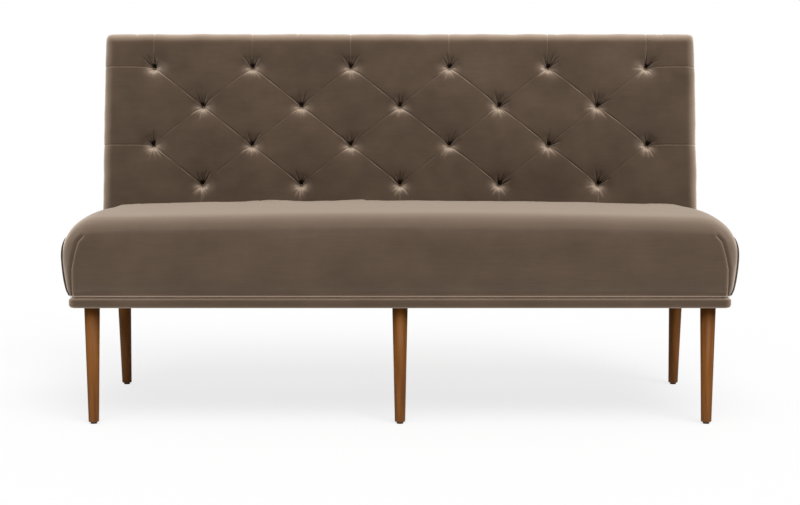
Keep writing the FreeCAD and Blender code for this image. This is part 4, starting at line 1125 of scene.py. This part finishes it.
# Dark and light tone, painted sheen colour seen along the pile, sheen
VELVETS = {
    "seat": ((0.079, 0.052, 0.035), (0.104, 0.070, 0.048), (0.39, 0.30, 0.227), 1.0),
    "back": ((0.066, 0.043, 0.028), (0.098, 0.066, 0.044), (0.38, 0.295, 0.225), 1.0),
    # Painted shade: the end panels' velvet is a darker copy with a very dark painted sheen colour and
    # little sheen
    "ends": ((0.060, 0.040, 0.027), (0.082, 0.056, 0.039), (0.022, 0.016, 0.011), 0.12),
    # Painted shade: a darker copy without sheen for the faces deep in the tufts
    "hollow": ((0.052, 0.033, 0.021), (0.066, 0.043, 0.028), (0.050, 0.033, 0.022), 0.0),
}
velvets = {name: velvet("velvet_" + name, *values) for name, values in VELVETS.items()}
paint(seat_velvet, velvets["seat"])
paint(back_velvet, velvets["back"])
# Painted shade: the faces deep in the tufts take the second, darker velvet
back_velvet.data.materials.append(velvets["hollow"])
painted_light_values = np.empty(len(back_velvet.data.vertices))
back_velvet.data.attributes["painted_light"].data.foreach_get("value", painted_light_values)
for face in back_velvet.data.polygons:
    if painted_light_values[list(face.vertices)].mean() < PAINTED_SHADE_FROM:
        face.material_index = 1
paint(outside_back, velvets["back"])
paint(base_band, velvets["seat"])
# Painted shade on the end panels from their darker velvet
for panel in end_panels:
    paint(panel, velvets["ends"])

# %% [markdown]
# ## Wood and the rest
# The legs are a warm mid-brown wood with a satin finish: fine grain along the leg, which a
# noise stretched along Z draws.


# %% Leg wood
def grained_wood(name, dark, light, rough, grain_scale):
    material, nodes, links = new_material(name)
    shader = nodes["Principled BSDF"]
    grain = stretched_noise(nodes, links, grain_scale, (1.0, 1.0, 0.06), detail=6.0, rough=0.6)
    tone = ramp(nodes, links, grain.outputs["Fac"], 0.34, 0.68, dark, light)
    links.new(tone.outputs["Color"], shader.inputs["Base Color"])
    shader.inputs["Roughness"].default_value = rough
    shader.inputs["Specular IOR Level"].default_value = 0.14
    add_bump(nodes, links, shader, grain, strength=0.15, distance=0.0004)
    return material


leg_wood = grained_wood("leg_wood", (0.128, 0.044, 0.0088), (0.230, 0.085, 0.0160), 0.47, 90.0)
for leg in legs:
    paint(leg, leg_wood)


# %% Finishes of the frame and fittings
def plain_finish(name, dark, light, rough, metallic, scale):
    material, nodes, links = new_material(name)
    shader = nodes["Principled BSDF"]
    mottle = stretched_noise(nodes, links, scale, (1.0, 1.0, 1.0), detail=4.0, rough=0.6)
    tone = ramp(nodes, links, mottle.outputs["Fac"], 0.3, 0.7, dark, light)
    links.new(tone.outputs["Color"], shader.inputs["Base Color"])
    shader.inputs["Roughness"].default_value = rough
    shader.inputs["Metallic"].default_value = metallic
    return material


# Dark and light tone, roughness, metallic, scale of the mottle
FINISHES = {
    "glide_plastic": ((0.010, 0.008, 0.007), (0.018, 0.014, 0.012), 0.5, 0.0, 60.0),
    "plain_steel": ((0.42, 0.42, 0.43), (0.55, 0.55, 0.56), 0.35, 1.0, 60.0),
    "black_cloth": ((0.010, 0.010, 0.010), (0.022, 0.022, 0.022), 0.95, 0.0, 400.0),
    "twine": ((0.55, 0.47, 0.33), (0.68, 0.60, 0.45), 0.9, 0.0, 900.0),
    "toggle_wood": ((0.50, 0.36, 0.20), (0.62, 0.47, 0.29), 0.6, 0.0, 60.0),
    "card": ((0.30, 0.24, 0.17), (0.38, 0.31, 0.23), 0.9, 0.0, 60.0),
}
finishes = {name: plain_finish(name, *values) for name, values in FINISHES.items()}
finishes["frame_wood"] = grained_wood("frame_wood", (0.45, 0.29, 0.15), (0.62, 0.44, 0.26), 0.7, 40.0)
paint(dust_cloth, finishes["black_cloth"])
print("finishes:", ", ".join(finishes))

# %% Paint the carried-over CAD nodes
SLOT_NODES = {
    "glide_plastic": ("glide_",),
    "plain_steel": ("leg_hanger", "leg_threaded", "seat_box", "back_bolt", "sinuous", "spring_clips"),
    "twine": ("tuft_twines",),
    "toggle_wood": ("tuft_toggles",),
    "card": ("outside_back_lining",),
}
painted = 0
for name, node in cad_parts.items():
    if node.hide_render:
        continue
    chosen = "frame_wood"
    for slot, starts in SLOT_NODES.items():
        if name.startswith(starts):
            chosen = slot
    paint_slots = node.data.materials
    if not len(paint_slots):
        paint_slots.append(finishes[chosen])
    for number in range(len(paint_slots)):
        paint_slots[number] = finishes[chosen]
    painted += 1
print(painted, "CAD nodes painted")

# %% [markdown]
# ## Studio
# A white floor with no visible edge, a wide soft light from above and a little in front, a
# smaller one from the front right, and an even white room. What the camera sees of the floor
# is part plain white, so it stays white and keeps a soft shadow, without more light on the
# bench.

# %% Floor
floor_shape = bmesh.new()
bmesh.ops.create_grid(floor_shape, x_segments=2, y_segments=2, size=30.0)
floor = make_piece("floor", floor_shape, smooth=False)
floor_white, nodes, links = new_material("floor_white")
FLOOR_COLOUR = 0.84
WHITE_SHARE = 0.77
shader = nodes["Principled BSDF"]
shader.inputs["Base Color"].default_value = (FLOOR_COLOUR, FLOOR_COLOUR, FLOOR_COLOUR, 1)
shader.inputs["Roughness"].default_value = 0.9
shader.inputs["Specular IOR Level"].default_value = 0.0
ray = nodes.new("ShaderNodeLightPath")
white = nodes.new("ShaderNodeEmission")
white.inputs["Color"].default_value = (1, 1, 1, 1)
share = nodes.new("ShaderNodeMath")
share.operation = "MULTIPLY"
share.inputs[1].default_value = WHITE_SHARE
links.new(ray.outputs["Is Camera Ray"], share.inputs[0])
blend = nodes.new("ShaderNodeMixShader")
links.new(share.outputs["Value"], blend.inputs["Fac"])
links.new(shader.outputs["BSDF"], blend.inputs[1])
links.new(white.outputs["Emission"], blend.inputs[2])
links.new(blend.outputs["Shader"], nodes["Material Output"].inputs["Surface"])
paint(floor, floor_white)
print("floor colour", FLOOR_COLOUR, "share of plain white", WHITE_SHARE)

# %% World
world = bpy.data.worlds.new("studio")
world.use_nodes = True
bpy.context.scene.world = world
nodes, links = world.node_tree.nodes, world.node_tree.links
background = nodes["Background"]
background.inputs["Color"].default_value = (1, 1, 1, 1)
ROOM_LIGHT = 0.42
ray = nodes.new("ShaderNodeLightPath")
room = nodes.new("ShaderNodeMapRange")
room.inputs["To Min"].default_value = ROOM_LIGHT
room.inputs["To Max"].default_value = 1.0
links.new(ray.outputs["Is Camera Ray"], room.inputs["Value"])
links.new(room.outputs["Result"], background.inputs["Strength"])
print("room light", ROOM_LIGHT)


# %% Lights
def sun(name, way, softness, strength):
    """A far light that falls the same everywhere; a wide angle makes its shadows soft."""
    data = bpy.data.lights.new(name, "SUN")
    data.angle = math.radians(softness)
    data.energy = strength
    lamp = bpy.data.objects.new(name, data)
    lamp.rotation_euler = Vector(way).to_track_quat("-Z", "Y").to_euler()
    bpy.context.scene.collection.objects.link(lamp)
    print("light", name, "strength", strength)


sun("overhead", (-0.10, 0.47, -1.0), 46, 1.98)
sun("key", (-0.45, 0.75, -0.95), 28, 0.85)

# %% View settings
bpy.context.scene.view_settings.view_transform = "Standard"
